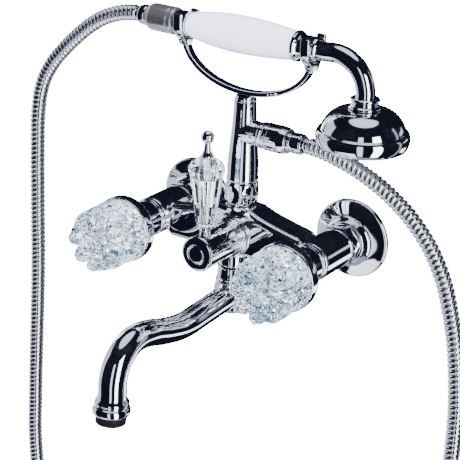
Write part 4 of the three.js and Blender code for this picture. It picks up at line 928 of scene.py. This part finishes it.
HOSE_RADIUS = 6.5
HOSE_PITCH = 4.2
HOSE_SIDES = 16
HOSE_RIB = (  # a share of the pitch, and of the radius
    (0.0, 0.80), (0.10, 0.90), (0.25, 0.965), (0.42, 1.0), (0.58, 1.0), (0.75, 0.965),
    (0.90, 0.90), (1.0, 0.80),
)
HOSE_ROUTE = [
    (-100.4, -48, 158.4), (-107.1, -48, 158.4), (-131, -48, 152.5), (-148, -48, 143.5),
    (-164, -48, 131), (-180, -48, 116), (-194, -48, 100), (-204, -48, 82), (-209, -48, 60),
    (-211, -48, 25), (-211, -49, -25), (-211, -50, -90), (-212, -52, -150), (-213, -54, -210),
    (-212, -56, -265), (-203, -57, -320), (-178, -58, -368), (-138, -58, -404), (-86, -58, -427),
    (-28, -58, -436), (32, -57, -427), (85, -56, -402), (129, -54, -362), (161, -52, -310),
    (182, -50, -250), (194, -49, -185), (198, -48, -120), (195, -48, -65), (186, -48, -18),
    (172, -48, 18), (153, -48, 43), (130, -48, 61), (106, -48, 73), (82, -48, 80.5),
    (61.3, -48, 84), (54.6, -48, 84),
]

bpy.ops.object.select_all(action="DESELECT")
bpy.ops.curve.primitive_bezier_curve_add()
route = bpy.context.object
route.location = (0, 0, 0)
route.data.dimensions = "3D"
route.data.twist_mode = "MINIMUM"
route_line = route.data.splines[0]
route_line.bezier_points.add(len(HOSE_ROUTE) - 2)
for knot, spot in zip(route_line.bezier_points, HOSE_ROUTE):
    knot.co = Vector(spot) * MM
    knot.handle_left_type = "AUTO"
    knot.handle_right_type = "AUTO"
route_line.resolution_u = 12
only(route)
bpy.ops.object.duplicate()
sampled = bpy.context.object
bpy.ops.object.convert(target="MESH")
sampled = bpy.context.object
hose_path = [tuple(vertex.co) for vertex in sampled.data.vertices]
bpy.data.objects.remove(sampled)
hose_length = sum((Vector(b) - Vector(a)).length for a, b in zip(hose_path, hose_path[1:]))

turns = round(hose_length / (HOSE_PITCH * MM))
pitch = hose_length / turns / MM
hose = drawn("spiral_hose", [(step * pitch, 0, HOSE_RADIUS * rise) for step, rise in HOSE_RIB])
bpy.ops.object.mode_set(mode="OBJECT")
bpy.ops.object.transform_apply(location=True, rotation=True, scale=True)
with_modifier(hose, "SCREW", axis="X", angle=2 * math.pi, screw_offset=pitch * MM,
              iterations=turns - 1, steps=HOSE_SIDES, render_steps=HOSE_SIDES)
with_modifier(hose, "WELD", merge_threshold=0.01 * MM)
with_modifier(hose, "CURVE", object=route, deform_axis="POS_X")
bpy.data.objects.remove(route)
only(hose)
bpy.ops.object.mode_set(mode="EDIT")
bpy.ops.mesh.select_all(action="SELECT")
bpy.ops.mesh.fill_holes(sides=0)
put_down(hose)
only(hose)
bpy.ops.object.shade_smooth()

hose_steel = glossy_material("spiral_steel", (0.80, 0.82, 0.85), 1.0, 0.10, 0.20, 0.1)[0]
hose.data.materials.clear()
hose.data.materials.append(hose_steel)
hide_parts("shower_hose")
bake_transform(hose)

# ---- Hose fittings -------------------------------------------------------------------------------
# Each end of the hose is crimped in a plated ferrule that a long cone nut draws on to its thread,
# with a rubber washer inside. The hand shower's nut is satin and the outlet's is bright.

handset_nut = turned("handset_cone_nut", [
    (8.3, -65.1), (9.9, -65.1, 0.4), (10.8, -66.4, 0.8), (10.8, -69.2, 0.4), (10.4, -69.7),
    (10.4, -70.3), (10.8, -70.8, 0.4), (10.8, -87.4, 0.5), (10.3, -88.2, 0.3), (10.3, -89.0, 0.3),
    (9.6, -90.1, 0.3), (8.3, -90.1), (8.3, -65.1),
], HANDSET, RIGHT, 64)
finished(handset_nut, satin_chrome, "handset", "satin_chrome", "handset_hose_nut", angle=25)

handset_ferrule = turned("handset_crimp", [
    (4, -79.5), (8, -79.5), (8, -92.0, 0.3), (7.6, -92.6, 0.3), (7.6, -93.4, 0.3), (8, -94.0, 0.3),
    (8, -98.6, 0.6), (7.0, -100.1, 0.4), (4, -100.1), (4, -79.5),
], HANDSET, RIGHT, 64)
finished(handset_ferrule, chrome, "handset", "chrome", "handset_hose_ferrule", angle=25)

OUTLET = (0, BODY_Y, OUTLET_LEVEL)
outlet_nut = turned("outlet_cone_nut", [
    (8.3, 20.3), (9.9, 20.3, 0.4), (10.8, 21.6, 0.8), (10.8, 24.2, 0.4), (10.4, 24.7),
    (10.4, 25.3), (10.8, 25.8, 0.4), (10.8, 35.5, 1.0), (10.3, 38, 1.0), (9.5, 41.3, 0.5),
    (8.3, 41.3), (8.3, 20.3),
], OUTLET, RIGHT, 64)
finished(outlet_nut, chrome, "mixer", "chrome", "outlet_hose_nut", angle=25)

outlet_ferrule = turned("outlet_crimp", [
    (4, 33), (8, 33), (8, 43.2, 0.3), (7.6, 43.8, 0.3), (7.6, 44.6, 0.3), (8, 45.2, 0.3),
    (8, 52.8, 0.6), (7.0, 54.3, 0.4), (4, 54.3), (4, 33),
], OUTLET, RIGHT, 64)
finished(outlet_ferrule, chrome, "mixer", "chrome", "outlet_hose_ferrule", angle=25)

# ---- Inner pieces --------------------------------------------------------------------------------
# What the casting hides: brass unions, spindles, spool and tubes as they come off the lathe, lapped
# ceramic discs, and black rubber seals. They keep the shapes that they were designed with.

brass, brass_tree, brass_shader = new_material("machined_brass", (0.72, 0.55, 0.28), 1.0, 0.3)
brass_place = brass_tree.nodes.new("ShaderNodeTexCoord")
brass_lines = wired(brass_tree, "ShaderNodeTexWave",
                    {"Vector": brass_place.outputs["Object"], "Scale": 900.0, "Distortion": 2.0,
                     "Detail": 2.0}, wave_type="BANDS", bands_direction="Y")
brass_gloss = wired(brass_tree, "ShaderNodeMapRange",
                    {"Value": brass_lines.outputs["Fac"], "To Min": 0.22, "To Max": 0.38})
brass_bump = wired(brass_tree, "ShaderNodeBump",
                   {"Height": brass_lines.outputs["Fac"], "Strength": 0.15, "Distance": 0.0001})
brass_tree.links.new(brass_gloss.outputs["Result"], brass_shader.inputs["Roughness"])
brass_tree.links.new(brass_bump.outputs["Normal"], brass_shader.inputs["Normal"])

lapped, lapped_tree, lapped_shader = new_material("lapped_ceramic", (0.88, 0.86, 0.82), 0.0, 0.2)
lapped_place = lapped_tree.nodes.new("ShaderNodeTexCoord")
lapped_cloud = wired(lapped_tree, "ShaderNodeTexNoise",
                     {"Vector": lapped_place.outputs["Object"], "Scale": 700.0, "Detail": 4.0})
lapped_gloss = wired(lapped_tree, "ShaderNodeMapRange",
                     {"Value": lapped_cloud.outputs["Fac"], "To Min": 0.15, "To Max": 0.3})
lapped_tree.links.new(lapped_gloss.outputs["Result"], lapped_shader.inputs["Roughness"])

nickel = glossy_material("nickel_plate", (0.80, 0.80, 0.78), 1.0, 0.08, 0.16, 0.05)[0]

INNER_FINISHES = (
    (brass, ("wall_union",), ("left", "right")),
    (rubber, ("union_washer",), ("left", "right")),
    (rubber, ("valve_seal",), ("hot", "cold")),
    (lapped, ("seat_disc", "turning_disc"), ("hot", "cold")),
    (nickel, ("spindle", "knob_insert"), ("hot", "cold")),
    (rubber, ("hose_washer",), ("handset", "outlet")),
    (brass, ("spool",), ("diverter",)),
    (nickel, ("rod",), ("lever",)),
    (rubber, ("seal",), ("spout",)),
    (rubber, ("insert",), ("aerator",)),
    (brass, ("inner_tube",), ("handset",)),
)
for material, kinds, places in INNER_FINISHES:
    for kind in kinds:
        for where in places:
            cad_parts[f"{where}_{kind}"].material_slots[0].material = material

# ---- Floor and light -----------------------------------------------------------------------------
# A plain pale floor under the hose, one large soft light from the upper left, and a studio whose
# dark walls and long white panels show only in the polish.

FLOOR_LEVEL_M = cad_low.z - 0.03
FLOOR_SIZE_M = 14
WHITE_CARD = 14.0

bpy.ops.object.select_all(action="DESELECT")
bpy.ops.mesh.primitive_plane_add(size=FLOOR_SIZE_M, location=(0, 0, FLOOR_LEVEL_M))
floor = bpy.context.object
floor.name = "floor"
floor_material, _, floor_shader = new_material("pale_floor", (0.9, 0.9, 0.91), 0.0, 0.9)
floor_shader.inputs["Emission Color"].default_value = (1, 1, 1, 1)
floor_shader.inputs["Emission Strength"].default_value = WHITE_CARD
floor.data.materials.append(floor_material)
floor.visible_glossy = False
floor.visible_diffuse = False
floor.visible_transmission = False

world = bpy.data.worlds.new("studio")
bpy.context.scene.world = world
world.use_nodes = True
sky = world.node_tree
sky.nodes.clear()
look = sky.nodes.new("ShaderNodeTexCoord")
split = wired(sky, "ShaderNodeSeparateXYZ", {"Vector": look.outputs["Generated"]})
backward = wired(sky, "ShaderNodeMath", {0: split.outputs["Y"], 1: -1.0}, operation="MULTIPLY")
around = wired(sky, "ShaderNodeMath", {0: split.outputs["X"], 1: backward.outputs["Value"]},
               operation="ARCTAN2")
around_share = wired(sky, "ShaderNodeMapRange",
                     {"Value": around.outputs["Value"], "From Min": -math.pi, "From Max": math.pi})
height = wired(sky, "ShaderNodeMath", {0: split.outputs["Z"]}, operation="ARCSINE")
height_share = wired(sky, "ShaderNodeMapRange",
                     {"Value": height.outputs["Value"], "From Min": -math.pi / 2,
                      "From Max": math.pi / 2})


def ramp(factor, stops):
    """A colour ramp through stops, each a share from 0 to 1 and a colour."""
    node = sky.nodes.new("ShaderNodeValToRGB")
    sky.links.new(factor.outputs["Result"], node.inputs["Fac"])
    points = node.color_ramp.elements
    points.remove(points[-1])
    points[0].position = stops[0][0]
    points[0].color = (*stops[0][1], 1)
    for position, color in stops[1:]:
        points.new(position).color = (*color, 1)
    return node.outputs["Color"]


def band_stops(bands, turn, span, soft):
    """Stops for panels on a dark ground. A panel has its start and end in degrees and a colour."""
    dark = (0, 0, 0)
    stops = [(0.0, dark)]
    shifted = [((start + turn) % 360, end - start, color) for start, end, color in bands]
    for low, width, color in sorted(shifted):
        for degrees, value in ((low - soft, dark), (low, color), (low + width, color),
                               (low + width + soft, dark)):
            stops.append((min(max(degrees / span, 0.0), 1.0), value))
    return stops


def around_ring(bands):
    """Panels placed round the horizon, in degrees to the right of the camera's side."""
    return ramp(around_share, band_stops(bands, 180 + math.degrees(CAMERA_AZIMUTH), 360, 2))


def at_heights(bands):
    """Panels placed by their height over the horizon, in degrees."""
    return ramp(height_share, band_stops(bands, 90, 180, 3))


def combined(kind, first, second):
    """Two colours added or multiplied."""
    node = wired(sky, "ShaderNodeVectorMath", {0: first, 1: second}, operation=kind)
    return node.outputs["Vector"]


WHITE = (1, 1, 1)
LILAC = (0.055, 0.055, 0.078)
standing = combined(
    "MULTIPLY",
    around_ring([(-152, -140, (0.5, 0.5, 0.5)), (-128, -98, (0.12, 0.12, 0.15)),
                 (-15, -4, (0.2, 0.2, 0.25)), (24, 44, WHITE), (94, 101, LILAC)]),
    at_heights([(-52, 28, WHITE)]),
)
low_back = combined("MULTIPLY", around_ring([(110, 130, (0.5, 0.5, 0.56))]),
                    at_heights([(-31, -24, WHITE), (2, 7, (0.3, 0.3, 0.3))]))
low_front = combined("MULTIPLY", around_ring([(-84, -24, (0.28, 0.28, 0.32))]),
                     at_heights([(-64, -42, WHITE)]))
overhead = at_heights([(-88, -62, LILAC), (66, 93, (0.15, 0.16, 0.20))])
panels = combined("ADD", combined("ADD", standing, low_back), combined("ADD", overhead, low_front))
studio_color = combined("ADD", panels, (0.0009, 0.0011, 0.0024))

PANEL_STRENGTH = 8.0
FILL_STRENGTH = 4.5
ray = sky.nodes.new("ShaderNodeLightPath")
fill = wired(sky, "ShaderNodeBackground", {"Color": (1, 1, 1, 1), "Strength": FILL_STRENGTH})
card = wired(sky, "ShaderNodeBackground", {"Color": (1, 1, 1, 1), "Strength": WHITE_CARD})
polish = wired(sky, "ShaderNodeBackground", {"Color": studio_color, "Strength": PANEL_STRENGTH})
through_color = ramp(height_share, [
    (0.0, (0.30, 0.36, 0.44)), (0.22, (0.05, 0.07, 0.11)), (0.30, (0.55, 0.66, 0.78)),
    (0.42, (0.9, 0.95, 1.0)), (0.47, (0.03, 0.04, 0.07)), (0.52, (0.02, 0.03, 0.05)),
    (0.56, (0.9, 0.95, 1.0)), (0.66, (0.9, 0.95, 1.0)), (0.70, (0.12, 0.16, 0.22)),
    (0.78, (0.5, 0.6, 0.7)), (1.0, (0.9, 0.95, 1.0)),
])
through = wired(sky, "ShaderNodeBackground",
                {"Color": combined("ADD", through_color, panels), "Strength": 4.0})
seen = wired(sky, "ShaderNodeMixShader", {0: ray.outputs["Is Glossy Ray"],
                                          1: fill.outputs["Background"],
                                          2: polish.outputs["Background"]})
seen = wired(sky, "ShaderNodeMixShader", {0: ray.outputs["Is Transmission Ray"],
                                          1: seen.outputs["Shader"],
                                          2: through.outputs["Background"]})
seen = wired(sky, "ShaderNodeMixShader", {0: ray.outputs["Is Camera Ray"],
                                          1: seen.outputs["Shader"],
                                          2: card.outputs["Background"]})
sky_out = sky.nodes.new("ShaderNodeOutputWorld")
sky.links.new(seen.outputs["Shader"], sky_out.inputs["Surface"])

LIGHT_PLACE_M = Vector((-0.9, -1.1, 1.3))

bpy.ops.object.light_add(type="AREA", location=LIGHT_PLACE_M)
soft_light = bpy.context.object
soft_light.data.shape = "DISK"
soft_light.data.size = 0.9
soft_light.data.energy = 40
soft_light.rotation_euler = (-LIGHT_PLACE_M).to_track_quat("-Z", "Y").to_euler()
soft_light.visible_camera = False
soft_light.visible_glossy = False
